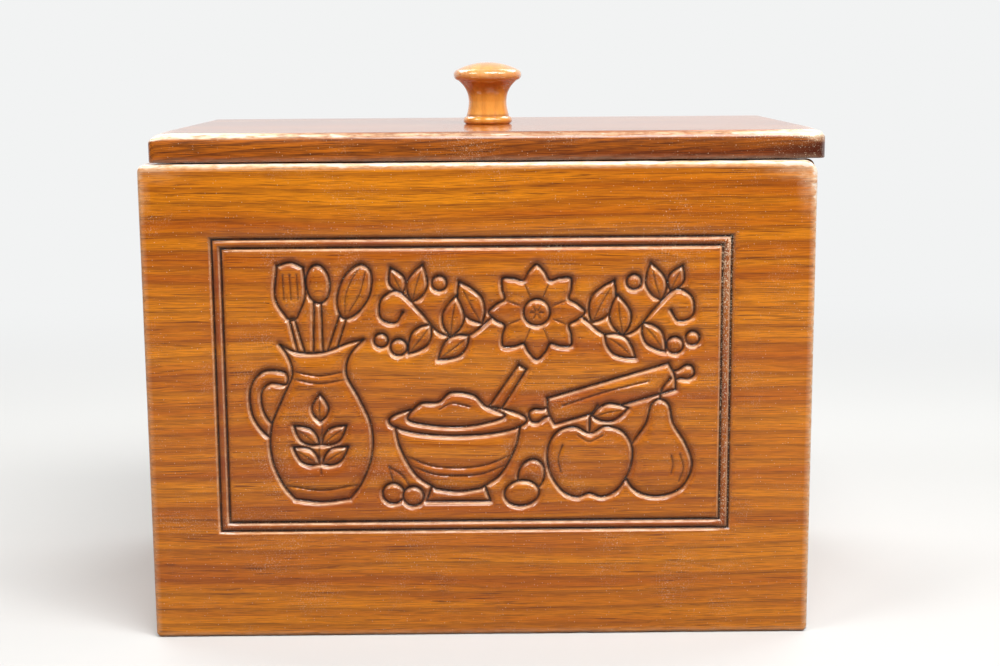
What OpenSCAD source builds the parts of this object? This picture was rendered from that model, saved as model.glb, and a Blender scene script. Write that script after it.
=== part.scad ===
/* [Box] */
// Width of the box across its front
box_w = 152; // [135:1:220]
// Depth of the box from the front face to the back face
box_d = 89; // [75:1:160]
// Height of the box without its lid
box_h = 110; // [85:1:160]
// Thickness of the front, back and side boards
wall_t = 9.5; // [9:0.25:13]
// Thickness of the bottom board
bottom_t = 6.4; // [5:0.2:9]
// Thickness of the lip of the front and back boards that covers the ends of the sides
lip_t = 4.75; // [3.5:0.25:6]
// Width of the ledge above the edge of the bottom board
ledge_w = 4.75; // [3.5:0.25:5.5]
// Gap round the bottom board in its rebate
bottom_gap = 0.15; // [0.05:0.05:0.4]

/* [Rounding] */
// Radius of the outside edges of the boards
edge_r = 1.2; // [0.6:0.1:2]
// Radius of the inside top edges of the boards
inner_edge_r = 0.5; // [0.3:0.1:1]
// Radius of the corners of the front board
corner_r = 1.7; // [1:0.1:3]
// Radius of the corner of the front board that is worn most, at the top right
worn_corner_r = 3.2; // [2:0.1:5]
// Radius of the lower corners of the front board
foot_corner_r = 1.0; // [0.6:0.1:2]

/* [Front frame] */
// Distance of the outer groove from the left end of the front board
frame_left = 16; // [10:0.5:30]
// Distance of the outer groove from the right end of the front board
frame_right = 18.95; // [10:0.05:30]
// Distance of the outer groove from the top edge of the front board
frame_top = 16.9; // [10:0.1:25]
// Distance of the outer groove from the bottom edge of the front board
frame_bottom = 25.35; // [10:0.05:35]
// Distance between the centre lines of the two grooves
groove_step = 2.05; // [1.8:0.05:5]
// Radius of the gouge that cut the grooves
groove_r = 0.65; // [0.4:0.05:0.85]
// Depth of the grooves
groove_depth = 0.8; // [0.5:0.05:1.5]

/* [Lid] */
// Length by which the lid is narrower than the box
lid_short = 0.4; // [0:0.1:4]
// Thickness of the lid
lid_t = 6.4; // [5.6:0.1:10]
// Distance that the lid hangs to the right of the middle of the box
lid_shift = 2.3; // [-4:0.1:4]
// Distance of the front edge of the lid behind the front face of the box
lid_setback = 0.3; // [0:0.1:2]
// Gap between the box and the closed lid
lid_gap = 0.35; // [0.2:0.05:0.6]
// Radius of the top edges of the lid
lid_edge_r = 2.2; // [0.8:0.1:2.4]
// Radius of the lower edges of the lid
lid_lower_r = 0.6; // [0.3:0.1:1]
// Radius of the corners of the lid
lid_corner_r = 1.8; // [1:0.1:4]
// Radius of the corner of the lid that is worn most, at the front right
lid_worn_r = 4; // [2:0.5:8]

/* [Knob] */
// Diameter of the foot of the knob
knob_foot_d = 12.1; // [11.5:0.1:16]
// Thickness of the foot of the knob
knob_foot_h = 1.9; // [1:0.1:2.5]
// Diameter of the neck of the knob at its narrowest
knob_neck_d = 9.4; // [8:0.1:11]
// Height of the narrowest place of the neck
knob_neck_z = 5.6; // [5:0.1:7]
// Radius of the hollow curve below the narrowest place
knob_cove_low_r = 10.5; // [5:0.1:12]
// Radius of the hollow curve above the narrowest place
knob_cove_high_r = 6.2; // [4.8:0.1:8]
// Diameter of the head of the knob
knob_head_d = 16.8; // [15:0.1:24]
// Radius of the rim of the head
knob_rim_r = 1.4; // [1.2:0.1:2.2]
// Height of the rim's middle above the lid
knob_rim_z = 12; // [11.4:0.1:12.6]
// Full height of the knob
knob_h = 15.1; // [15:0.1:17]
// Distance of the knob's axis behind the front edge of the lid
knob_y = 44.35; // [20:0.05:60]

/* [Hinges] */
// Distance of the middle of each hinge from its end of the box
hinge_inset = 31; // [28:1:40]
// Length of a hinge
hinge_len = 25.4; // [20:0.2:32]
// Width of a leaf from the back face to its front edge
leaf_w = 7.6; // [6:0.1:8]
// Thickness of a leaf
leaf_t = 0.9; // [0.7:0.05:1.1]
// Outside diameter of the knuckles
barrel_d = 3.2; // [3:0.1:4]
// Diameter of the hinge pin
pin_d = 1.6; // [1.2:0.05:1.9]
// Length of the bevel at each end of the hinge pin
pin_bevel = 0.2; // [0.1:0.05:0.4]
// Clearance round the pin in the knuckles
pin_gap = 0.05; // [0.03:0.01:0.08]
// Gap between neighbouring knuckles
knuckle_gap = 0.15; // [0.1:0.05:0.4]
// Gap between the knuckles and the boards
barrel_gap = 0.12; // [0.1:0.02:0.4]
// Gap round a leaf in its recess
leaf_gap = 0.1; // [0.05:0.05:0.3]

/* [Screws and brads] */
// Distance between the two screws of a leaf
screw_pitch = 15; // [10:0.5:17]
// Diameter of a hinge screw
screw_d = 2.2; // [1.8:0.1:2.4]
// Diameter of the head of a hinge screw
screw_head_d = 4.2; // [3.6:0.1:4.6]
// Height of the head of a hinge screw
screw_head_h = 1.1; // [0.8:0.1:1.3]
// Length of the screws in the box
box_screw_l = 9.5; // [6:0.5:13]
// Length of the screws in the lid
lid_screw_l = 5; // [4:0.1:5.2]
// Diameter of the knob's screw
knob_screw_d = 3; // [2.4:0.1:3.4]
// Diameter of the head of the knob's screw
knob_screw_head_d = 6; // [5:0.1:7]
// Height of the head of the knob's screw
knob_screw_head_h = 1.8; // [1.4:0.1:2.2]
// Length of the knob's screw
knob_screw_l = 15.5; // [12:0.5:18]
// Width of the slot in a screw head
slot_w = 0.6; // [0.4:0.05:0.8]
// Depth of the slot in a screw head
slot_depth = 0.5; // [0.3:0.05:0.6]
// Diameter of a brad
brad_d = 1.2; // [1:0.1:1.6]
// Diameter of the head of a brad
brad_head_d = 2; // [1.7:0.1:2.4]
// Height of the head of a brad
brad_head_h = 0.6; // [0.4:0.1:1]
// Depth of the brad heads below the wood
brad_set = 0.3; // [0.2:0.1:1]
// Length of the brads through the sides
brad_l = 25; // [18:1:30]
// Length of the brads through the bottom
bottom_brad_l = 19; // [12:1:25]
// Distance of the outer brads from the top and the bottom of a side
brad_margin = 18; // [14:1:24]
// Clearance of a screw or a brad in its hole
fixing_gap = 0.02; // [0.01:0.01:0.05]

/* [Hidden] */
$fn = 64;

front_y = -box_d / 2;
back_y = box_d / 2;
inner_w = box_w - 2 * wall_t;
inner_d = box_d - 2 * wall_t;
side_l = box_d - 2 * lip_t;
rabbet_t = wall_t - lip_t;
lid_w = box_w - lid_short;
lid_z = box_h + lid_gap;
lid_front_y = front_y + lid_setback;
lid_d = back_y - lid_front_y;
knob_z = lid_z + lid_t;
knob_at = [lid_shift, lid_front_y + knob_y, knob_z];
hinge_x = box_w / 2 - hinge_inset;
hinge_y = back_y + barrel_d / 2 + barrel_gap;
hinge_z = box_h + lid_gap / 2;
leaf_screw_y = back_y - leaf_w / 2;
knuckle_edge = hinge_len / 6;
brad_zs = [brad_margin, box_h / 2, box_h - brad_margin];
over = 1;
wood = [0.76, 0.47, 0.17];
dark_wood = [0.62, 0.35, 0.14];
knob_wood = [0.84, 0.56, 0.22];
brass = [0.78, 0.62, 0.30];
steel = [0.62, 0.62, 0.62];

// Outline of a board with its lower left corner at the origin.
// The radii are those of the lower left, lower right, upper right and upper left corners.
module board_outline(size, radii) {
    w = size[0];
    h = size[1];
    a = radii[0];
    b = radii[1];
    c = radii[2];
    d = radii[3];
    polygon([[a, 0], [w - b, 0], [w, b], [w, h - c], [w - c, h], [d, h], [0, h - d], [0, a]]);
    if (a > 0) translate([a, a]) circle(a);
    if (b > 0) translate([w - b, b]) circle(b);
    if (c > 0) translate([w - c, h - c]) circle(c);
    if (d > 0) translate([d, h - d]) circle(d);
}

// Extrudes an outline drawn in X and Z towards +Y.
module along_y(length) {
    translate([0, length, 0]) rotate([90, 0, 0]) linear_extrude(length) children();
}

// Extrudes an outline drawn in Y and Z towards +X.
module along_x(length) {
    rotate([90, 0, 90]) linear_extrude(length) children();
}

// Front or back board standing with its outer face at y = 0 and its inner face towards +Y.
// The ends are cut to house the side boards, and the foot to house the bottom board.
module end_board(top_left_r, top_right_r) {
    translate([-box_w / 2, 0, 0]) difference() {
        intersection() {
            along_y(wall_t)
                board_outline([box_w, box_h], [foot_corner_r, foot_corner_r, top_right_r, top_left_r]);
            along_x(box_w)
                board_outline([wall_t, box_h], [foot_corner_r, 0, inner_edge_r, edge_r]);
            linear_extrude(box_h)
                board_outline([box_w, wall_t], [edge_r, edge_r, 0, 0]);
        }
        for (x = [-over, box_w - wall_t])
            translate([x, lip_t, -over]) cube([wall_t + over, rabbet_t + over, box_h + 2 * over]);
        translate([-over, wall_t - ledge_w, -over])
            cube([box_w + 2 * over, ledge_w + over, bottom_t + over]);
    }
}

// Cutter for a round-bottomed groove from one point of the front face to another, square to an edge.
module groove(from, to) {
    length = norm(to - from);
    turn = to[0] == from[0] ? [0, 0, 0] : [0, 90, 0];
    translate([from[0], groove_depth - groove_r, from[1]]) {
        rotate(turn) cylinder(h = length, r = groove_r);
        sphere(groove_r);
    }
    translate([to[0], groove_depth - groove_r, to[1]]) sphere(groove_r);
}

// Cutter for one rectangle of the frame, a number of steps inside the outer one.
module frame_ring(step) {
    x0 = -box_w / 2 + frame_left + step;
    x1 = box_w / 2 - frame_right - step;
    z0 = frame_bottom + step;
    z1 = box_h - frame_top - step;
    groove([x0, z0], [x1, z0]);
    groove([x0, z1], [x1, z1]);
    groove([x0, z0], [x0, z1]);
    groove([x1, z0], [x1, z1]);
}

module front_board() {
    color(wood) translate([0, front_y, 0]) difference() {
        end_board(corner_r, worn_corner_r);
        frame_ring(0);
        frame_ring(groove_step);
        end_board_holes();
    }
}

module back_board() {
    color(wood) difference() {
        translate([0, back_y, 0]) rotate(180) difference() {
            end_board(corner_r, corner_r);
            end_board_holes();
        }
        for (side = [-1, 1]) at_hinge(side) {
            leaf_recess(box_h - leaf_t, leaf_t + over);
            box_leaf_screws(fixing_gap);
        }
    }
}

// Holes of the brads in a front or back board that stands with its outer face at y = 0.
module end_board_holes() {
    translate([0, lip_t + rabbet_t / 2, 0]) side_brad_rows(fixing_gap);
    translate([0, -front_y, 0]) bottom_brad_rows(fixing_gap);
}

// Side board with its outer face towards -X, as it stands at the left of the box.
module side_board() {
    difference() {
        translate([-box_w / 2, -side_l / 2, 0])
            along_y(side_l)
                board_outline([wall_t, box_h], [foot_corner_r, 0, inner_edge_r, corner_r]);
        translate([-box_w / 2 + wall_t - ledge_w, -box_d / 2, -over])
            cube([ledge_w + over, box_d, bottom_t + over]);
        side_holes();
    }
}

// Holes of all the brads that pass through or into a side board.
module side_holes() {
    for (y = [front_y + lip_t + rabbet_t / 2, back_y - lip_t - rabbet_t / 2])
        translate([0, y, 0]) side_brad_rows(fixing_gap);
    bottom_brad_rows(fixing_gap);
}

module left_side() {
    color(dark_wood) side_board();
}

module right_side() {
    color(dark_wood) rotate(180) side_board();
}

module bottom_board() {
    w = inner_w + 2 * ledge_w - 2 * bottom_gap;
    d = inner_d + 2 * ledge_w - 2 * bottom_gap;
    color(dark_wood) difference() {
        translate([-w / 2, -d / 2, 0]) cube([w, d, bottom_t]);
        bottom_brad_rows(fixing_gap);
    }
}

// Brad that points towards +Z, its head set below z = 0. A gap makes it the cutter of its hole.
module brad(length, gap) {
    depth = brad_set + brad_head_h;
    translate([0, 0, depth]) cylinder(h = length - brad_head_h + gap, d = brad_d + 2 * gap);
    if (gap > 0) translate([0, 0, -over]) cylinder(h = over + depth + gap, d = brad_head_d + 2 * gap);
    else translate([0, 0, brad_set]) cylinder(h = brad_head_h, d = brad_head_d);
}

// Brads of both ends of one board, driven inwards through the two sides.
module side_brad_rows(gap) {
    for (z = brad_zs) {
        translate([-box_w / 2, 0, z]) rotate([0, 90, 0]) brad(brad_l, gap);
        translate([box_w / 2, 0, z]) rotate([0, -90, 0]) brad(brad_l, gap);
    }
}

// Brads driven up through the bottom board into the ledges round it.
module bottom_brad_rows(gap) {
    long_x = inner_w / 2 - brad_margin;
    short_y = inner_d / 2 - brad_margin / 2;
    for (x = [-long_x, 0, long_x], y = [-1, 1] * (inner_d + ledge_w) / 2)
        translate([x, y, 0]) brad(bottom_brad_l, gap);
    for (x = [-1, 1] * (inner_w + ledge_w) / 2, y = [-short_y, short_y])
        translate([x, y, 0]) brad(bottom_brad_l, gap);
}

module front_brads() {
    color(steel) translate([0, front_y + lip_t + rabbet_t / 2, 0]) side_brad_rows(0);
}

module back_brads() {
    color(steel) translate([0, back_y - lip_t - rabbet_t / 2, 0]) side_brad_rows(0);
}

module bottom_brads() {
    color(steel) bottom_brad_rows(0);
}

// Countersunk screw that points towards +Z, the flat of its head at z = 0.
module screw(d, length, head_d, head_h) {
    tip = d;
    difference() {
        union() {
            cylinder(h = head_h, d1 = head_d, d2 = d);
            translate([0, 0, head_h]) cylinder(h = length - head_h - tip, d = d);
            translate([0, 0, length - tip]) cylinder(h = tip, d1 = d, d2 = d / 4);
        }
        translate([-head_d / 2, -slot_w / 2, -over]) cube([head_d, slot_w, slot_depth + over]);
    }
}

// Cutter of the hole of such a screw.
module screw_hole(d, length, head_d, head_h, gap) {
    translate([0, 0, -over]) cylinder(h = over + gap, d = head_d + 2 * gap);
    translate([0, 0, gap]) cylinder(h = head_h, d1 = head_d + 2 * gap, d2 = d + 2 * gap);
    translate([0, 0, head_h / 2]) cylinder(h = length - head_h / 2 + gap, d = d + 2 * gap);
}

// Moves a piece drawn about the middle of a hinge to the hinge on one side.
module at_hinge(side) {
    translate([side * hinge_x, 0, 0]) children();
}

// Places the two screws of a leaf, which point up in the lid and down in the box.
module leaf_screw_places(z, down) {
    for (x = [-1, 1] * screw_pitch / 2)
        translate([x, leaf_screw_y, z]) rotate([down ? 180 : 0, 0, 0]) children();
}

// Screws of the leaf on the box, or the cutter of their holes where a gap is given.
module box_leaf_screws(gap) {
    leaf_screw_places(box_h, true)
        if (gap > 0) screw_hole(screw_d, box_screw_l, screw_head_d, screw_head_h, gap);
        else screw(screw_d, box_screw_l, screw_head_d, screw_head_h);
}

// Screws of the leaf on the lid, or the cutter of their holes where a gap is given.
module lid_leaf_screws(gap) {
    leaf_screw_places(lid_z, false)
        if (gap > 0) screw_hole(screw_d, lid_screw_l, screw_head_d, screw_head_h, gap);
        else screw(screw_d, lid_screw_l, screw_head_d, screw_head_h);
}

// Cutter of the recess that a leaf lies in, from height z up by depth.
module leaf_recess(z, depth) {
    translate([-hinge_len / 2 - leaf_gap, back_y - leaf_w - leaf_gap, z])
        cube([hinge_len + 2 * leaf_gap, leaf_w + leaf_gap + over, depth]);
}

// One leaf with its knuckles. The knuckles stand between the x values of each span.
module leaf(z, spans) {
    translate([-hinge_len / 2, back_y - leaf_w, z]) cube([hinge_len, leaf_w, leaf_t]);
    for (span = spans) {
        length = span[1] - span[0];
        translate([span[0], back_y - leaf_t, z]) cube([length, hinge_y - back_y + leaf_t, leaf_t]);
        translate([span[0], hinge_y, hinge_z]) rotate([0, 90, 0]) cylinder(h = length, d = barrel_d);
    }
}

// Bore of the pin through all the knuckles.
module pin_bore() {
    translate([-hinge_len / 2 - over, hinge_y, hinge_z])
        rotate([0, 90, 0]) cylinder(h = hinge_len + 2 * over, d = pin_d + 2 * pin_gap);
}

module box_leaf(side) {
    end = hinge_len / 2;
    color(brass) at_hinge(side) difference() {
        leaf(box_h - leaf_t, [[-end, -knuckle_edge], [knuckle_edge, end]]);
        pin_bore();
        box_leaf_screws(fixing_gap);
    }
}

module lid_leaf(side) {
    end = knuckle_edge - knuckle_gap;
    color(brass) at_hinge(side) difference() {
        leaf(lid_z, [[-end, end]]);
        pin_bore();
        lid_leaf_screws(fixing_gap);
    }
}

// Hinge pin as long as the hinge, with a bevel at each end.
module pin(side) {
    color(brass) at_hinge(side) translate([0, hinge_y, hinge_z]) rotate([0, 90, 0])
        for (end = [0, 1]) mirror([0, 0, end]) {
            cylinder(h = hinge_len / 2 - pin_bevel, d = pin_d);
            translate([0, 0, hinge_len / 2 - pin_bevel])
                cylinder(h = pin_bevel, d1 = pin_d, d2 = pin_d - 2 * pin_bevel);
        }
}

module left_hinge_box_leaf() {
    box_leaf(-1);
}

module right_hinge_box_leaf() {
    box_leaf(1);
}

module left_hinge_lid_leaf() {
    lid_leaf(-1);
}

module right_hinge_lid_leaf() {
    lid_leaf(1);
}

module left_hinge_pin() {
    pin(-1);
}

module right_hinge_pin() {
    pin(1);
}

module left_hinge_box_screws() {
    color(brass) at_hinge(-1) box_leaf_screws(0);
}

module right_hinge_box_screws() {
    color(brass) at_hinge(1) box_leaf_screws(0);
}

module left_hinge_lid_screws() {
    color(brass) at_hinge(-1) lid_leaf_screws(0);
}

module right_hinge_lid_screws() {
    color(brass) at_hinge(1) lid_leaf_screws(0);
}

// Lid board with rounded edges, the front right corner worn most.
module lid_board() {
    low = lid_lower_r;
    high = lid_edge_r;
    color(dark_wood) difference() {
        translate([lid_shift - lid_w / 2, lid_front_y, lid_z]) intersection() {
            along_y(lid_d) board_outline([lid_w, lid_t], [low, low, high, high]);
            along_x(lid_w) board_outline([lid_d, lid_t], [low, low, high, high]);
            linear_extrude(lid_t)
                board_outline([lid_w, lid_d], [lid_corner_r, lid_worn_r, lid_corner_r, lid_corner_r]);
        }
        for (side = [-1, 1]) at_hinge(side) {
            leaf_recess(lid_z - over, leaf_t + over);
            lid_leaf_screws(fixing_gap);
        }
        knob_screw_place()
            screw_hole(knob_screw_d, lid_t + over, knob_screw_head_d, knob_screw_head_h, fixing_gap);
    }
}

module knob_screw_place() {
    translate([knob_at[0], knob_at[1], lid_z]) children();
}

module knob_screw() {
    color(steel) knob_screw_place()
        screw(knob_screw_d, knob_screw_l, knob_screw_head_d, knob_screw_head_h);
}

// Half of the knob's section, with the axis at x = 0.
module knob_section() {
    foot_rim = knob_foot_h / 2;
    neck_r = knob_neck_d / 2;
    rim_x = knob_head_d / 2 - knob_rim_r;
    flare_z = knob_rim_z - knob_rim_r / 2;
    crown = knob_h - knob_rim_z;
    dome_r = (rim_x * rim_x + crown * crown - knob_rim_r * knob_rim_r) / (2 * (crown - knob_rim_r));
    tangent_x = dome_r * rim_x / (dome_r - knob_rim_r);
    square([knob_foot_d / 2 - foot_rim, knob_foot_h]);
    translate([knob_foot_d / 2 - foot_rim, foot_rim]) circle(foot_rim);
    difference() {
        translate([0, foot_rim]) square([knob_foot_d / 2 - foot_rim / 2, knob_neck_z - foot_rim]);
        translate([neck_r + knob_cove_low_r, knob_neck_z]) circle(knob_cove_low_r);
    }
    difference() {
        translate([0, knob_neck_z]) square([rim_x + knob_rim_r / 2, flare_z - knob_neck_z]);
        translate([neck_r + knob_cove_high_r, knob_neck_z]) circle(knob_cove_high_r);
    }
    translate([rim_x, knob_rim_z]) circle(knob_rim_r);
    intersection() {
        translate([0, knob_h - dome_r]) circle(dome_r);
        translate([0, flare_z]) square([tangent_x, knob_h - flare_z]);
    }
}

module lid_knob() {
    color(knob_wood) difference() {
        translate(knob_at) rotate_extrude($fn = 96) knob_section();
        knob_screw_place() translate([0, 0, lid_t - over])
            cylinder(h = knob_screw_l - lid_t + over + knob_screw_d / 4, d = knob_screw_d + 2 * fixing_gap);
    }
}

front_board();
back_board();
left_side();
right_side();
bottom_board();
front_brads();
back_brads();
bottom_brads();
left_hinge_box_leaf();
right_hinge_box_leaf();
left_hinge_pin();
right_hinge_pin();
left_hinge_box_screws();
right_hinge_box_screws();
lid_board();
lid_knob();
knob_screw();
left_hinge_lid_leaf();
right_hinge_lid_leaf();
left_hinge_lid_screws();
right_hinge_lid_screws();
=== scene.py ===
"""A wooden box for recipe cards, with a carved front, a hinged lid and a turned knob."""

import logging
import math
from collections.abc import Callable, Iterable, Sequence
from dataclasses import dataclass, field
from enum import Enum

import bmesh
import bpy
import numpy as np
from mathutils import Matrix, Vector, kdtree, noise


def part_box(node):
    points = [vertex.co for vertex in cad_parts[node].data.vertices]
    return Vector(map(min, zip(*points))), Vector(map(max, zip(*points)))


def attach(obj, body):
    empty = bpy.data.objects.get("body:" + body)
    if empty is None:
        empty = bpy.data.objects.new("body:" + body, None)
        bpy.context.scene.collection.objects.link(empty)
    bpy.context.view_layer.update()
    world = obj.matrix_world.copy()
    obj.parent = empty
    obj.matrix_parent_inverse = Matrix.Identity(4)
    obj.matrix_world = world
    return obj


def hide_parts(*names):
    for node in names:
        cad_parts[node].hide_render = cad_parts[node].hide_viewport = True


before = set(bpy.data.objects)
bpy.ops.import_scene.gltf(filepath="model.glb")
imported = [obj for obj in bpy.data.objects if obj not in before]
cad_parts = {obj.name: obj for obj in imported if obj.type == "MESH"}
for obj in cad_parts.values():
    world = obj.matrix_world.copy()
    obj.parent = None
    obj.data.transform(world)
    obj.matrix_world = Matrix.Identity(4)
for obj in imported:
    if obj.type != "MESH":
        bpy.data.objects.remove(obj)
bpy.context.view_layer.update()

MM = 0.001
log = logging.getLogger("recipe_box")

Point = tuple[float, float]
Tree = bpy.types.NodeTree
Node = bpy.types.Node
Socket = bpy.types.NodeSocket

# Places nearer to each other than this, in metres, are the same place.
SAME_PLACE = 1e-6
# A face whose normal along -Y or -Z is beyond this is flat, not part of a rounding.
FLAT = -0.99
# The Wave texture at scale 1 repeats its bands at this distance.
WAVE_PERIOD = 0.314
# Setting of a Map Range node whose result starts and ends gently.
EASED = {"interpolation_type": "SMOOTHSTEP"}


class Grain(Enum):
    """Direction in which the fibres of a board run."""

    ALONG_X = (0.0, 0.0, 0.0)
    ALONG_Y = (0.0, 0.0, -math.pi / 2)
    ALONG_Z = (0.0, math.pi / 2, 0.0)


def linear(colour: str) -> tuple[float, float, float, float]:
    """Turns an sRGB hex colour to linear RGBA.

    Args:
        colour: six hex digits, such as "c07830".

    Returns:
        The linear red, green and blue, with an alpha of 1.
    """
    parts = (int(colour[i : i + 2], 16) / 255 for i in (0, 2, 4))
    rgb = [c / 12.92 if c <= 0.04045 else ((c + 0.055) / 1.055) ** 2.4 for c in parts]
    return (*rgb, 1.0)


def add_node(
    tree: Tree, kind: str, inputs: dict[str | int, object] | None = None, **settings: object
) -> Node:
    """Adds a node to a tree, sets it up and fills or links its inputs.

    Args:
        tree: the node tree.
        kind: Blender's name of the node type, without its leading ShaderNode.
        inputs: input name or number to a value, a socket or a node whose first output is used.
        settings: the node's own properties.

    Returns:
        The new node.
    """
    node = tree.nodes.new("ShaderNode" + kind)
    for name, value in settings.items():
        setattr(node, name, value)
    for key, value in (inputs or {}).items():
        if isinstance(key, int):
            socket = node.inputs[key]
        else:
            socket = next(s for s in node.inputs if s.enabled and s.name == key)
        if isinstance(value, Node):
            value = next(s for s in value.outputs if s.enabled)
        if isinstance(value, Socket):
            tree.links.new(value, socket)
        else:
            socket.default_value = value
    return node


def new_material(name: str) -> tuple[bpy.types.Material, Tree]:
    """Makes an empty node material.

    Args:
        name: the material's name.

    Returns:
        The material and its node tree.
    """
    material = bpy.data.materials.new(name)
    material.use_nodes = True
    material.node_tree.nodes.clear()
    return material, material.node_tree


@dataclass(frozen=True)
class StainedPine:
    """Pine, planed and sanded, with an oil stain that pools in hollows and a gloss lacquer.

    The fibres show as fine dark lines along the grain, the growth rings as soft bands, and the
    lacquer as a clear coat over both. Lengths are real ones in millimetres, but a real fibre,
    about 0.03 mm across, would not show, so it is drawn 0.13 mm across.
    """

    name: str
    grain: Grain
    cut_at: tuple[float, float, float]
    light: str = "ea8c10"
    middle: str = "c26208"
    dark: str = "6a2c0a"
    streak: str = "5a280c"
    band_mm: float = 5.5
    band_length_mm: float = 150.0
    sway_mm: float = 6.0
    fibre_mm: float = 0.13
    fibre_length_mm: float = 5.0
    fibre_strength: float = 0.52
    line_strength: float = 0.75
    ring_mm: float = 3.4
    ring_tilt: float = 12.0
    ring_slope: float = 0.0
    ring_strength: float = 0.4
    speck_mm: float = 0.62
    speck_share: float = 0.7
    grit_mm: float = 0.34
    cloud_mm: float = 10.0
    roughness: float = 0.45
    worn_roughness: float = 0.75
    coat: float = 0.8
    coat_roughness: float = 0.1
    coat_ior: float = 1.5
    # Colour of stain rubbed thin on edges, also used as a painted highlight on carved shoulders that face the
    # light.
    worn: str = "ffd8b0"
    bare: str = "f2dcc8"
    # Colour of stain pooling in the lines, also used as painted shade where a line broadens on its wall away
    # from the light, and at the lid's lower right end.
    pooled_stain_and_shade: str = "1c0a02"
    shaded: str = "8a3a10"
    haze: str = "f0dcba"
    haze_amount: float = 0.3

    def material(self) -> bpy.types.Material:
        """Builds the finish: colour of the wood, stain pooling in the lines with painted shade, wear with
        painted highlights, dust, then the lacquer.

        Returns:
            The material.
        """
        material, tree = new_material(self.name)
        place = add_node(tree, "TexCoord").outputs["Object"]
        turned = add_node(
            tree, "Mapping", {"Vector": place, "Rotation": self.grain.value, "Location": self.cut_at}
        )
        wood = self._wood_colour(tree, turned)
        stained = self._pooled_stain_and_shade(tree, wood, turned)
        worn, wear = self._wear(tree, stained, turned)
        dusty, dust = self._dust(tree, worn, place)
        matt = add_node(tree, "Math", {0: wear, 1: dust}, operation="MAXIMUM")
        rough = add_node(
            tree, "MapRange", {"Value": matt, "To Min": self.roughness, "To Max": self.worn_roughness}
        )
        bsdf = add_node(
            tree,
            "BsdfPrincipled",
            {
                "Base Color": dusty,
                "Roughness": rough,
                "Specular IOR Level": 0.15,
                "Coat Weight": self.coat,
                "Coat Roughness": self.coat_roughness,
                "Coat IOR": self.coat_ior,
                "Normal": self._relief(tree, turned, place, wear),
            },
        )
        add_node(tree, "OutputMaterial", {"Surface": bsdf})
        return material

    def _streaks(self, tree: Tree, place: Node, across_mm: float, along_mm: float, detail: float) -> Node:
        """Draws noise out along the grain.

        Args:
            tree: the material's node tree.
            place: the place in the log.
            across_mm: size of a streak across the grain.
            along_mm: length of a streak along the grain.
            detail: octaves of finer noise.

        Returns:
            The noise node.
        """
        along, across = 1 / (along_mm * MM), 1 / (across_mm * MM)
        drawn = add_node(tree, "VectorMath", {0: place, 1: (along, across, across)}, operation="MULTIPLY")
        return add_node(tree, "TexNoise", {"Vector": drawn, "Scale": 1.0, "Detail": detail, "Roughness": 0.6})

    def _wood_colour(self, tree: Tree, place: Node) -> Node:
        """Colours the bare stained wood with soft bands, growth rings, fibres and dark streaks.

        Args:
            tree: the material's node tree.
            place: the place in the log.

        Returns:
            The node that gives the colour.
        """
        sway = self._streaks(tree, place, 30.0, 110.0, 1.0)
        sideways = self.sway_mm * MM
        swayed = add_node(
            tree,
            "VectorMath",
            {0: sway.outputs["Color"], 1: (0, sideways, sideways), 2: place},
            operation="MULTIPLY_ADD",
        )
        bands = self._streaks(tree, swayed, self.band_mm, self.band_length_mm, 3.0)
        band = add_node(tree, "MapRange", {"Value": bands, "From Min": 0.32, "From Max": 0.7}, **EASED)
        ring_place = add_node(
            tree,
            "Mapping",
            {
                "Vector": swayed,
                "Rotation": (math.radians(self.ring_tilt), math.radians(self.ring_slope), 0),
                "Scale": (0.12, 1, 1),
            },
        )
        rings = add_node(
            tree,
            "TexWave",
            {
                "Vector": ring_place,
                "Scale": WAVE_PERIOD / (self.ring_mm * MM),
                "Distortion": 2.0,
                "Detail": 2.0,
                "Detail Scale": 0.6,
            },
            wave_type="BANDS",
            bands_direction="Z",
            wave_profile="SAW",
        )
        ring = add_node(
            tree,
            "MapRange",
            {"Value": rings, "From Min": 0.45, "From Max": 1.0, "To Max": self.ring_strength},
            **EASED,
        )
        fibres = self._streaks(tree, place, self.fibre_mm, self.fibre_length_mm, 4.0)
        fibre = add_node(
            tree,
            "MapRange",
            {"Value": fibres, "From Min": 0.4, "From Max": 0.66, "To Max": self.fibre_strength},
            **EASED,
        )
        lines = self._streaks(tree, swayed, self.fibre_mm * 2, self.fibre_length_mm * 6, 2.0)
        line = add_node(
            tree,
            "MapRange",
            {"Value": lines, "From Min": 0.58, "From Max": 0.68, "To Max": self.line_strength},
            **EASED,
        )
        colour = linear(self.light)
        for share, laid in ((band, self.middle), (ring, self.dark), (fibre, self.dark), (line, self.streak)):
            over = linear(laid)
            colour = add_node(tree, "Mix", {"Factor": share, "A": colour, "B": over}, data_type="RGBA")
        return colour

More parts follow.
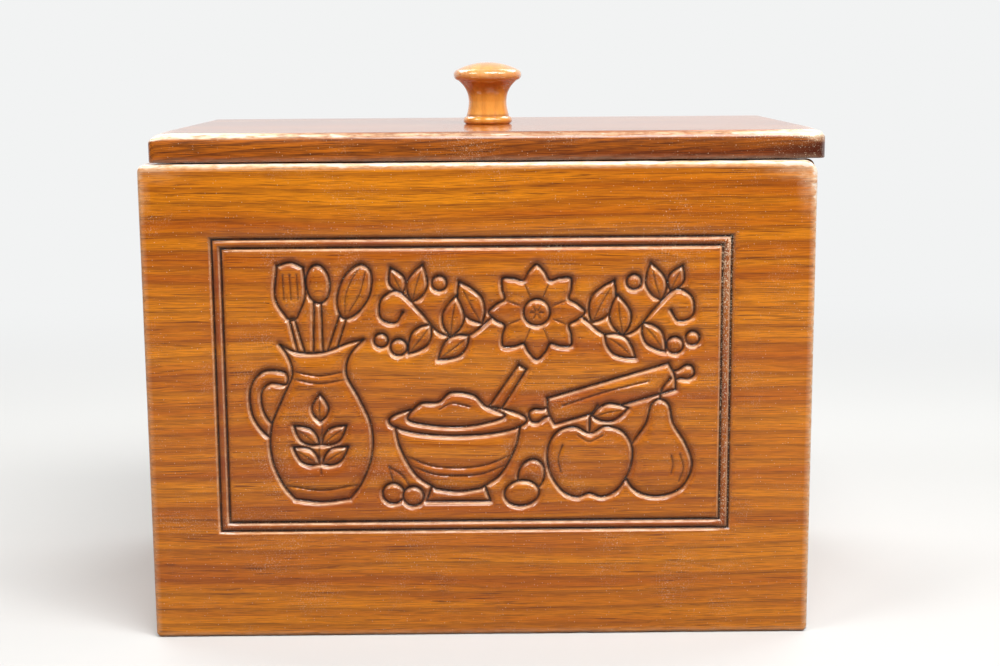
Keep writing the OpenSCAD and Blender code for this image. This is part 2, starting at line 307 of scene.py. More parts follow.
    def _pooled_stain_and_shade(self, tree: Tree, wood: Node, place: Node) -> Node:
        """Darkens the wood: stain pools in the carved lines, with painted shade on their walls away from the
        light, and softly beside them.

        Args:
            tree: the material's node tree.
            wood: the node that gives the wood's colour.
            place: the place in the log.

        Returns:
            The node that gives the stained and shaded colour.
        """
        shade = add_node(tree, "Attribute", attribute_name="shade").outputs["Fac"]
        groove = add_node(tree, "Attribute", attribute_name="groove").outputs["Fac"]
        patches = self._streaks(tree, place, 5.0, 14.0, 3.0)
        patchy = add_node(
            tree, "MapRange", {"Value": patches, "From Min": 0.3, "From Max": 0.7, "To Min": 0.4}
        )
        soft = add_node(tree, "Math", {0: shade, 1: patchy}, operation="MULTIPLY")
        gaps = self._streaks(tree, place, 2.4, 3.0, 2.0)
        broken = add_node(tree, "MapRange", {"Value": gaps, "From Min": 0.3, "From Max": 0.5, "To Min": 0.75})
        line = add_node(tree, "Math", {0: groove, 1: broken}, operation="MULTIPLY")
        shaded, pooled_stain_and_shade = linear(self.shaded), linear(self.pooled_stain_and_shade)
        beside = add_node(tree, "Mix", {"Factor": soft, "A": wood, "B": shaded}, data_type="RGBA")
        return add_node(tree, "Mix", {"Factor": line, "A": beside, "B": pooled_stain_and_shade}, data_type="RGBA")

    def _wear(self, tree: Tree, wood: Node, place: Node) -> tuple[Node, Node]:
        """Rubs the stain thin on edges and carved shoulders, paints a highlight on the shoulders that face
        the light, and adds bare nicks along the edges.

        Args:
            tree: the material's node tree.
            wood: the node that gives the stained colour.
            place: the place in the log.

        Returns:
            The worn colour with its painted highlights, and how matt the surface is there.
        """
        edge = add_node(tree, "Attribute", attribute_name="edge").outputs["Fac"]
        shoulder = add_node(tree, "Attribute", attribute_name="shoulder").outputs["Fac"]
        rub = self._streaks(tree, place, 0.8, 2.4, 4.0)
        uneven = add_node(tree, "MapRange", {"Value": rub, "From Min": 0.35, "From Max": 0.6, "To Min": 0.35})
        # Edges and shoulders are mixed toward the worn colour; on shoulders that face the light this is a
        # painted highlight.
        most = add_node(tree, "Math", {0: edge, 1: shoulder}, operation="MAXIMUM")
        rubbed = add_node(tree, "Math", {0: most, 1: uneven}, operation="MULTIPLY")
        thin = add_node(tree, "Mix", {"Factor": rubbed, "A": wood, "B": linear(self.worn)}, data_type="RGBA")
        nick = self._streaks(tree, place, 0.7, 4.0, 5.0)
        raised = add_node(tree, "Math", {0: edge, 1: 0.42, 2: nick}, operation="MULTIPLY_ADD")
        bare = add_node(tree, "MapRange", {"Value": raised, "From Min": 0.84, "From Max": 0.96}, **EASED)
        worn = add_node(tree, "Mix", {"Factor": bare, "A": thin, "B": linear(self.bare)}, data_type="RGBA")
        return worn, bare

    def _dust(self, tree: Tree, wood: Node, place: Socket) -> tuple[Node, Node]:
        """Sprinkles pale specks and scuffs, thicker where the haze attribute says.

        Args:
            tree: the material's node tree.
            wood: the node that gives the worn colour.
            place: the place on the piece.

        Returns:
            The dusty colour, and how matt the surface is there.
        """
        haze = add_node(tree, "Attribute", attribute_name="haze").outputs["Fac"]
        cell_scale = 1 / (self.speck_mm * MM)
        cells = add_node(tree, "TexVoronoi", {"Vector": place, "Scale": cell_scale, "Randomness": 1.0})
        pick = add_node(tree, "SeparateColor", {"Color": cells.outputs["Color"]})
        chosen = add_node(tree, "MapRange", {"Value": pick, "From Min": 0.62, "From Max": 0.9}, **EASED)
        centre = cells.outputs["Distance"]
        dot = add_node(tree, "MapRange", {"Value": centre, "From Min": 0.17, "From Max": 0.08}, **EASED)
        speck = add_node(tree, "Math", {0: chosen, 1: dot}, operation="MULTIPLY")
        cloud, grit = (
            add_node(
                tree,
                "TexNoise",
                {"Vector": place, "Scale": 1 / (size * MM), "Detail": 3.0, "Roughness": roughness},
            )
            for size, roughness in ((self.cloud_mm, 0.6), (self.grit_mm, 0.75))
        )
        clouded = add_node(tree, "MapRange", {"Value": cloud, "From Min": 0.48, "From Max": 0.74}, **EASED)
        gritty = add_node(tree, "MapRange", {"Value": grit, "From Min": 0.54, "From Max": 0.64}, **EASED)
        scuff = add_node(tree, "Math", {0: clouded, 1: gritty}, operation="MULTIPLY")
        raised = add_node(tree, "Math", {0: haze, 1: 0.32, 2: grit}, operation="MULTIPLY_ADD")
        powder = add_node(
            tree, "MapRange", {"Value": raised, "From Min": 0.72, "From Max": 0.82, "To Max": 0.85}, **EASED
        )
        loose = add_node(tree, "Math", {0: scuff, 1: self.haze_amount, 2: powder}, operation="MULTIPLY_ADD")
        dots = add_node(tree, "Math", {0: speck, 1: self.speck_share}, operation="MULTIPLY")
        dust = add_node(tree, "Math", {0: dots, 1: loose}, operation="MAXIMUM", use_clamp=True)
        dusty = add_node(tree, "Mix", {"Factor": dust, "A": wood, "B": linear(self.haze)}, data_type="RGBA")
        return dusty, dust

    def _relief(self, tree: Tree, turned: Node, place: Socket, wear: Node) -> Node:
        """Gives the surface small relief: fibres, a slow unevenness from sanding, and nicks.

        Args:
            tree: the material's node tree.
            turned: the place in the log.
            place: the place on the piece.
            wear: the node that gives how worn the surface is.

        Returns:
            The node that gives the surface's normal.
        """
        fibres = self._streaks(tree, turned, self.fibre_mm, self.fibre_length_mm, 3.0)
        fine = add_node(tree, "Bump", {"Strength": 0.4, "Distance": 0.03 * MM, "Height": fibres})
        slow = add_node(tree, "TexNoise", {"Vector": place, "Scale": 1 / (9 * MM), "Detail": 2.0})
        uneven = add_node(
            tree, "Bump", {"Strength": 0.5, "Distance": 0.2 * MM, "Height": slow, "Normal": fine}
        )
        return add_node(
            tree,
            "Bump",
            {"Strength": 0.5, "Distance": 0.1 * MM, "Height": wear, "Normal": uneven},
            invert=True,
        )


@dataclass(frozen=True)
class Metal:
    """Satin metal with a thin uneven tarnish.

    Args:
        name: the material's name.
        clean: colour where it is rubbed bright.
        tarnished: colour of the dulled skin.
        roughness: roughness of the bright metal.
        dulled: how much rougher the dulled skin is.
        patch_mm: size of a patch of tarnish.
        dent_mm: size of the small unevenness.
    """

    name: str
    clean: str
    tarnished: str
    roughness: float = 0.28
    dulled: float = 0.2
    patch_mm: float = 4.0
    dent_mm: float = 0.4

    def material(self) -> bpy.types.Material:
        """Builds the metal, duller and browner in patches of a few millimetres.

        Returns:
            The material.
        """
        material, tree = new_material(self.name)
        place = add_node(tree, "TexCoord").outputs["Object"]
        patch_scale, dent_scale = 1 / (self.patch_mm * MM), 1 / (self.dent_mm * MM)
        patches = add_node(
            tree, "TexNoise", {"Vector": place, "Scale": patch_scale, "Detail": 5.0, "Roughness": 0.7}
        )
        dull = add_node(tree, "MapRange", {"Value": patches, "From Min": 0.35, "From Max": 0.65})
        clean, tarnished = linear(self.clean), linear(self.tarnished)
        colour = add_node(tree, "Mix", {"Factor": dull, "A": clean, "B": tarnished}, data_type="RGBA")
        rough_ends = {"To Min": self.roughness, "To Max": self.roughness + self.dulled}
        rough = add_node(tree, "MapRange", {"Value": dull, **rough_ends})
        dents = add_node(tree, "TexNoise", {"Vector": place, "Scale": dent_scale, "Detail": 2.0})
        bump = add_node(tree, "Bump", {"Strength": 0.3, "Distance": 0.02 * MM, "Height": dents})
        bsdf = add_node(
            tree,
            "BsdfPrincipled",
            {"Base Color": colour, "Metallic": 1.0, "Roughness": rough, "Normal": bump},
        )
        add_node(tree, "OutputMaterial", {"Surface": bsdf})
        return material


def new_piece(
    name: str, bm: bmesh.types.BMesh, body: str, nodes: Sequence[str]
) -> bpy.types.Object:
    """Turns a bmesh into a piece that stands for CAD nodes.

    Args:
        name: the piece's name.
        bm: its mesh, in metres in the CAD frame; it is freed.
        body: the CAD body that it rides on.
        nodes: the CAD nodes that it replaces.

    Returns:
        The new object, with smooth faces that stay sharp at corners over 40 degrees.
    """
    mesh = bpy.data.meshes.new(name)
    bm.normal_update()
    bm.to_mesh(mesh)
    bm.free()
    mesh.shade_smooth()
    mesh.set_sharp_from_angle(angle=math.radians(40))
    piece = bpy.data.objects.new(name, mesh)
    bpy.context.scene.collection.objects.link(piece)
    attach(piece, body)
    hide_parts(*nodes)
    return piece


def coordinates(piece: bpy.types.Object) -> np.ndarray:
    """Returns a piece's vertices as an array of rows of X, Y and Z, in metres."""
    flat = np.empty(len(piece.data.vertices) * 3, dtype=np.float32)
    piece.data.vertices.foreach_get("co", flat)
    return flat.reshape(-1, 3).astype(float)


def move_vertices(piece: bpy.types.Object, places: np.ndarray) -> None:
    """Puts a piece's vertices at new places, in metres."""
    piece.data.vertices.foreach_set("co", places.astype(np.float32).ravel())
    piece.data.update()


def mark(piece: bpy.types.Object, **marks: np.ndarray) -> None:
    """Stores one number from 0 to 1 per vertex under each name that the finish reads.

    Args:
        piece: the piece to mark.
        marks: name to numbers; the finish takes a name that a piece lacks as 0 all over.
    """
    for name, values in marks.items():
        layer = piece.data.attributes.new(name, "FLOAT", "POINT")
        layer.data.foreach_set("value", np.clip(values, 0, 1).astype(np.float32))


def dress(piece: bpy.types.Object, material: bpy.types.Material) -> None:
    """Gives every material slot of a piece the same material, and makes one if it has none.

    Args:
        piece: the piece to dress.
        material: the finish's material.
    """
    if not piece.data.materials:
        piece.data.materials.append(material)
    for slot in piece.material_slots:
        slot.material = material


def slice_every(bm: bmesh.types.BMesh, axis: int, places: Iterable[float]) -> None:
    """Cuts a mesh through with planes square to an axis.

    Args:
        bm: the mesh.
        axis: 0, 1 or 2 for X, Y or Z.
        places: where the planes cross the axis, in metres.
    """
    normal = Vector((0, 0, 0))
    normal[axis] = 1
    for place in places:
        whole = bm.verts[:] + bm.edges[:] + bm.faces[:]
        bmesh.ops.bisect_plane(bm, geom=whole, dist=1e-7, plane_co=normal * place, plane_no=normal)


def edges_where(bm: bmesh.types.BMesh, test: Callable[[Vector], bool]) -> list[bmesh.types.BMEdge]:
    """Returns the edges whose two ends both pass a test of place."""
    return [e for e in bm.edges if all(test(v.co) for v in e.verts)]


def round_edges(
    bm: bmesh.types.BMesh, edges: list[bmesh.types.BMEdge], radius: float, segments: int
) -> None:
    """Rounds edges over.

    Args:
        bm: the mesh.
        edges: the edges to round.
        radius: the radius, in metres.
        segments: faces across the rounding.
    """
    bmesh.ops.bevel(
        bm,
        geom=edges,
        offset=radius,
        segments=segments,
        profile=0.5,
        affect="EDGES",
        material=-1,
        offset_type="OFFSET",
        clamp_overlap=True,
    )


def block(bm: bmesh.types.BMesh, low: Sequence[float], high: Sequence[float]) -> list[bmesh.types.BMVert]:
    """Adds a rectangular block.

    Args:
        bm: the mesh to add it to.
        low: lowest corner, in metres.
        high: highest corner, in metres.

    Returns:
        The block's vertices.
    """
    size = Vector(high) - Vector(low)
    place = Matrix.Translation((Vector(low) + Vector(high)) / 2) @ Matrix.Diagonal((*size, 1))
    return bmesh.ops.create_cube(bm, size=1.0, matrix=place)["verts"]


def chips(mm: np.ndarray, worn: np.ndarray, large: float, small: float, share: float) -> np.ndarray:
    """Draws chips of two sizes on the worn points of a mesh, from noise.

    Args:
        mm: rows of X, Y and Z, in millimetres.
        worn: how worn each point is; no chip falls where it is 0.
        large: about how far apart the large chips lie, in millimetres.
        small: about how far apart the small ones lie.
        share: how deep the small ones are beside the large ones.

    Returns:
        Depth of the chips at each point, about 1 where they are deepest.
    """
    depth = np.zeros(len(mm))
    for i in np.flatnonzero(worn > 0):
        spot = Vector(mm[i])
        depth[i] = max(0.0, noise.noise(spot / large)) + share * max(0.0, noise.noise(spot / small))
    return depth


def smooth_line(points: Sequence[Point], closed: bool = False, step: float = 0.12) -> np.ndarray:
    """Draws a smooth curve through points.

    Args:
        points: the points, in millimetres.
        closed: whether the curve returns to its first point.
        step: about how far apart the returned points lie.

    Returns:
        Rows of two coordinates along a Catmull-Rom curve.
    """
    p = np.array(points, dtype=float)
    p = np.vstack([p[-1], p, p[:2]]) if closed else np.vstack([2 * p[0] - p[1], p, 2 * p[-1] - p[-2]])
    out = []
    for a, b, c, d in zip(p, p[1:], p[2:], p[3:], strict=False):
        count = max(2, round(float(np.linalg.norm(c - b)) / step))
        t = np.linspace(0, 1, count, endpoint=False)[:, None]
        square, cube = 2 * a - 5 * b + 4 * c - d, 3 * b - a - 3 * c + d
        out.append(0.5 * (2 * b + (c - a) * t + square * t**2 + cube * t**3))
    if not closed:
        out.append(p[-2][None, :])
    return np.vstack(out)


def oval(
    centre: Point, radii: Point, turn: float = 0.0, start: float = 0.0, end: float = 360.0
) -> list[Point]:
    """Points along an oval or a part of one.

    Args:
        centre: its middle, in millimetres.
        radii: half its width and height.
        turn: degrees that it is turned anticlockwise.
        start: angle at which the part starts, in degrees.
        end: angle at which it ends.

    Returns:
        One point about every 15 degrees; the last is left out of a whole oval.
    """
    count = max(3, round(abs(end - start) / 15))
    whole = abs(end - start) >= 360
    c, s = math.cos(math.radians(turn)), math.sin(math.radians(turn))
    out = []
    for i in range(count if whole else count + 1):
        angle = math.radians(start + (end - start) * i / count)
        x, z = radii[0] * math.cos(angle), radii[1] * math.sin(angle)
        out.append((centre[0] + c * x - s * z, centre[1] + s * x + c * z))
    return out


def within(points: np.ndarray, outline: np.ndarray) -> np.ndarray:
    """Tells which points lie inside an outline.

    Args:
        points: rows of two coordinates.
        outline: rows of two coordinates round the shape.

    Returns:
        One truth value per point.
    """
    hit = np.zeros(len(points), dtype=bool)
    low, high = outline.min(axis=0), outline.max(axis=0)
    near = np.flatnonzero(np.all((points > low) & (points < high), axis=1))
    x, z = points[near, 0], points[near, 1]
    odd = np.zeros(len(near), dtype=bool)
    for (x1, z1), (x2, z2) in zip(outline, np.roll(outline, -1, axis=0), strict=True):
        if z1 != z2:
            odd ^= ((z1 > z) != (z2 > z)) & (x < (x2 - x1) * (z - z1) / (z2 - z1) + x1)
    hit[near] = odd
    return hit


@dataclass
class KitchenCarving:
    """The picture cut into the front: a jug of spoons, a bowl, fruit and a flower scroll.

    Its own coordinates are millimetres from the lower left corner of the field inside the frame.
    A shape is a closed outline that hides what was drawn behind it.
    """

    bold: list[np.ndarray] = field(default_factory=list)
    fine: list[np.ndarray] = field(default_factory=list)
    shapes: list[np.ndarray] = field(default_factory=list)

    def draw(self) -> None:
        """Draws every motif, those at the back first."""
        self.utensils()
        self.jug()
        self.rolling_pin()
        self.bowl()
        self.pear()
        self.apple()
        self.eggs()
        self.cherries()
        self.scroll()

    def shape(self, outline: np.ndarray) -> None:
        """Adds a bold closed outline and clears what lies behind it.

        Args:
            outline: rows of two coordinates round the shape.
        """
        for lines in (self.bold, self.fine):
            lines[:] = [kept for line in lines if len(kept := line[~within(line, outline)])]
        self.bold.append(outline)
        self.shapes.append(outline)

    def rounded(self, points: Sequence[Point]) -> None:
        """Adds a bold closed shape with a smooth outline through some points."""
        self.shape(smooth_line(points, closed=True))

    def cornered(self, *sides: Sequence[Point]) -> None:
        """Adds a bold closed shape whose sides are smooth and meet in corners."""
        self.shape(np.vstack([smooth_line(side) for side in sides]))

    def stick(self, *corners: Point) -> None:
        """Adds a bold straight-sided shape, with no line from its last corner to its first."""
        self.cornered(*zip(corners, corners[1:], strict=False))

    def line(self, points: Sequence[Point], fine: bool = True) -> None:
        """Adds an open line."""
        (self.fine if fine else self.bold).append(smooth_line(points))

    def leaf(self, base: Point, heading: float, length: float, width: float) -> None:
        """Adds a pointed leaf with a middle vein.

        Args:
            base: where the leaf joins its stalk.
            heading: direction of the leaf, in degrees from +X.
            length: length of the leaf.
            width: its greatest width.
        """
        c, s = math.cos(math.radians(heading)), math.sin(math.radians(heading))
        half = [(0.0, 0.0), (0.22, 0.36), (0.5, 0.5), (0.78, 0.3), (1.0, 0.0)]

        def place(along: float, across: float) -> Point:
            """Returns a point a share of the length along the leaf and of the width across it."""
            return (
                base[0] + c * along * length - s * across * width,
                base[1] + s * along * length + c * across * width,
            )

        self.cornered([place(a, b) for a, b in half], [place(a, -b) for a, b in reversed(half)])
        self.line([place(0.08, 0.0), place(0.45, 0.03), place(0.82, 0.0)])

    def utensils(self) -> None:
        """A whisk, a slotted turner and a wooden spoon standing in the jug."""
        self.stick((16.6, 40.0), (15.0, 47.0), (16.2, 47.2), (18.2, 40.0))
        self.cornered(
            [(12.4, 59.6), (15.6, 60.4), (18.4, 59.2)],
            [(18.4, 59.2), (18.6, 52.6), (16.6, 47.6)],
            [(16.6, 47.6), (14.6, 47.4)],
            [(14.6, 47.4), (11.9, 52.2), (12.4, 59.6)],
        )
        for x in (13.7, 15.3, 16.9):
            self.line([(x, 57.6), (x + 0.1, 55.0), (x + 0.2, 52.0)])
        self.stick((23.4, 40.0), (26.2, 48.0), (27.8, 47.4), (25.4, 40.0))
        self.rounded(
            [(27.0, 47.6), (25.8, 51.6), (27.4, 56.8), (31.0, 59.8), (33.6, 58.0), (33.2, 52.8),
             (30.2, 48.6)]
        )
        self.line([(27.6, 49.0), (27.9, 53.0), (29.6, 57.0), (31.0, 59.0)])
        self.line([(28.6, 49.2), (31.0, 53.2), (32.4, 58.2)])
        self.stick((20.2, 40.0), (20.6, 51.4), (22.2, 51.4), (22.4, 40.0))
        self.rounded(oval((21.6, 55.4), (2.7, 4.4), 4))

    def jug(self) -> None:
        """A round-bellied jug with a handle on its left."""
        self.rounded(
            [(13.6, 35.2), (8.6, 35.4), (5.6, 31.4), (6.0, 25.0), (9.4, 20.2), (13.4, 18.2), (14.0, 20.6),
             (10.6, 22.8), (8.4, 26.4), (8.2, 30.6), (10.2, 32.6), (13.8, 32.4)]
        )
        self.cornered(
            [(12.6, 41.6), (16.6, 39.8), (22.6, 39.8), (28.0, 41.8), (31.6, 42.6)],
            [(31.6, 42.6), (28.4, 39.0), (27.6, 34.6), (30.4, 29.0), (33.0, 22.6), (33.0, 15.6), (30.6, 9.2),
             (27.8, 5.4)],
            [(27.8, 5.4), (21.4, 4.7), (15.2, 5.4)],
            [(15.2, 5.4), (12.2, 9.4), (10.0, 15.6), (10.2, 22.6), (12.8, 29.0), (15.2, 34.4), (14.6, 38.4),
             (12.6, 41.6)],
        )
        self.line([(15.0, 35.6), (21.4, 34.4), (27.4, 35.4)])
        self.line([(15.2, 33.8), (21.4, 32.6), (27.8, 33.6)])
        self.line([(13.2, 8.8), (21.4, 7.6), (29.8, 8.8)])
        self.line([(21.4, 11.4), (21.0, 17.0), (21.8, 22.0), (21.4, 26.0)])
        for z, lean in ((13.6, 34), (18.2, 38)):
            self.leaf((21.6, z), lean, 7.2, 3.6)
            self.leaf((21.0, z), 180 - lean, 7.2, 3.6)
        self.leaf((21.4, 23.6), 90, 6.4, 3.8)

    def rolling_pin(self) -> None:
        """A rolling pin that leans behind the fruit."""
        turn = math.radians(16)
        c, s = math.cos(turn), math.sin(turn)

        def place(along: float, across: float) -> Point:
            """Returns a point on the pin, from its middle."""
            return (88.0 + c * along - s * across, 29.6 + s * along + c * across)

        edge = [(13.6, 1.1), (16.0, 1.0), (18.0, 1.6), (19.4, 0.9)]
        handle = edge + [(a, -b) for a, b in reversed(edge)]
        for end in (-1, 1):
            self.rounded([place(end * a, b) for a, b in handle])
        self.cornered(
            [place(-14.4, -3.2), place(14.4, -3.2)],
            [place(14.4, -3.2), place(15.0, 0.0), place(14.4, 3.2)],
            [place(14.4, 3.2), place(-14.4, 3.2)],
            [place(-14.4, 3.2), place(-15.0, 0.0), place(-14.4, -3.2)],
        )
        self.line([place(-11.5, 0.6), place(0.0, 0.9), place(9.0, 0.5)])

    def bowl(self) -> None:
        """A footed mixing bowl with a spoon in it."""
        self.stick((59.4, 26.0), (66.8, 36.6), (68.6, 35.4), (62.0, 25.0))
        self.stick((46.6, 8.0), (45.4, 4.6), (60.2, 4.6), (59.0, 8.0))
        self.cornered(
            [(38.4, 22.6), (39.6, 17.2), (43.0, 11.0), (47.6, 7.6)],
            [(47.6, 7.6), (52.8, 6.9), (58.0, 7.6)],
            [(58.0, 7.6), (62.6, 11.0), (66.0, 17.2), (67.2, 22.6)],
            [(67.2, 22.6), (52.8, 20.4), (38.4, 22.6)],
        )
        self.rounded(oval((52.8, 23.6), (15.8, 3.5)))
        self.rounded(
            [(41.4, 24.0), (44.2, 27.6), (48.4, 28.0), (51.4, 30.2), (56.4, 29.6), (59.2, 27.0), (63.6, 24.6),
             (58.4, 22.8), (52.8, 22.2), (46.6, 22.6)]
        )
        self.line([(48.6, 26.4), (51.6, 27.8), (55.6, 27.0)])
        self.line([(41.0, 15.4), (46.6, 13.2), (52.8, 12.6), (59.0, 13.2), (64.6, 15.4)])
        self.line([(42.0, 13.2), (47.2, 11.2), (52.8, 10.7), (58.4, 11.2), (63.6, 13.2)])

    def pear(self) -> None:
        """A pear with its stalk."""
        self.line([(99.0, 27.6), (99.6, 30.6), (101.4, 33.0)], fine=False)
        self.rounded(
            [(97.2, 27.0), (99.2, 28.2), (101.2, 26.8), (102.2, 22.6), (105.2, 17.6), (106.6, 12.4),
             (104.0, 7.2), (98.6, 5.4), (93.4, 7.0), (90.8, 12.0), (92.6, 17.4), (95.8, 22.4)]
        )
        self.line([(103.6, 9.0), (104.6, 12.2), (103.8, 15.4)])
        self.line([(101.8, 11.0), (102.2, 13.0), (101.8, 15.0)])

    def apple(self) -> None:
        """An apple with its stalk and a leaf, in front of the pear."""
        self.line([(83.0, 21.0), (83.2, 24.2), (84.8, 26.8)], fine=False)
        self.rounded(
            [(83.2, 20.4), (86.6, 22.0), (90.6, 20.8), (92.8, 16.8), (92.2, 11.6), (89.4, 7.0), (86.0, 5.4),
             (83.0, 6.2), (80.0, 5.4), (76.6, 7.0), (73.8, 11.6), (73.4, 16.8), (75.6, 20.8), (79.6, 22.0)]
        )
        self.line([(80.2, 20.2), (82.9, 18.6), (86.0, 20.0)])
        self.line([(76.4, 11.4), (75.8, 14.6), (76.8, 17.8)])
        self.leaf((83.6, 24.4), 12, 8.4, 4.2)

    def eggs(self) -> None:
        """Two eggs beside the bowl."""
        self.rounded(oval((69.6, 10.6), (3.0, 3.9), -18))
        self.rounded(oval((67.4, 6.4), (4.0, 3.0), 8))

    def cherries(self) -> None:
        """A pair of cherries in the lower middle."""
        self.line([(36.9, 13.0), (37.6, 10.4), (38.2, 8.6)])
        self.line([(36.9, 13.0), (40.0, 10.8), (42.0, 7.6)])
        self.rounded(oval((37.8, 6.6), (2.5, 2.4)))
        self.rounded(oval((42.4, 5.9), (2.4, 2.3)))

    def scroll(self) -> None:
        """A rosette with a leafy scroll on either side, across the top."""
        middle = (71.0, 48.6)
        for side in (-1, 1):

            def place(along: float, up: float, side: int = side) -> Point:
                """Returns a point on this side of the rosette, from its middle."""
                return (middle[0] + side * along, middle[1] + up)

            stem = [(10.0, -1.0), (16.0, -5.4), (22.0, -4.6), (26.6, 0.6), (31.4, 5.0), (35.2, 3.2),
                    (35.4, -1.0), (32.2, -2.2), (30.4, 0.2)]
            self.line([place(*p) for p in stem], fine=False)
            turned = (lambda angle: angle) if side > 0 else (lambda angle: 180 - angle)
            for base, heading, length, width in (
                ((12.4, -2.6), 62, 11.0, 5.6),
                ((19.6, -5.6), 98, 9.6, 5.0),
                ((15.4, -5.2), -38, 9.0, 4.6),
                ((24.0, -2.6), -52, 8.6, 4.4),
                ((28.2, 2.4), 106, 9.0, 4.6),
                ((30.2, 4.6), 64, 6.4, 3.6),
            ):
                self.leaf(place(*base), turned(heading), length, width)
            for berry, radius in (((22.0, 6.8), 1.7), ((31.4, -7.8), 1.9), ((35.4, -6.2), 1.6)):
                self.rounded(oval(place(*berry), (radius, radius)))
        self.rosette(middle)

    def rosette(self, middle: Point) -> None:
        """Adds a flower of eight petals, with a line between each two, and a seed head in its middle.

        Args:
            middle: the flower's middle.
        """
        petals, seeds, reach, ripple = 8, 6, 9.4, 1.5

        def place(angle: float, radius: float) -> Point:
            """Returns a point at an angle and a distance from the middle."""
            return (middle[0] + radius * math.cos(angle), middle[1] + radius * math.sin(angle))

        around = [math.tau * i / (petals * 4) for i in range(petals * 4)]
        self.rounded([place(a, reach + ripple * math.cos(petals * a)) for a in around])
        for i in range(petals):
            self.line([place(math.tau * (i + 0.5) / petals, radius) for radius in (4.0, 5.6, 7.4)])
        self.rounded(oval(middle, (3.0, 3.0)))
        for i in range(seeds):
            self.line([place(math.tau * i / seeds, radius) for radius in (0.5, 1.0, 1.5)])


@dataclass
class Relief:
    """How deep the carving is and how it is coloured, one number per point.

    Args:
        depth: depth below the face, in millimetres.
        groove: how much stain pools, with painted shade where a line broadens on the wall away from the
            light, from 0 to 1.
        shoulder: how much the finish is rubbed thin, with a painted highlight where it faces the light, from
            0 to 1.
        shade: how much the face is darkened, from 0 to 1.
    """

    depth: np.ndarray
    groove: np.ndarray
    shoulder: np.ndarray
    shade: np.ndarray


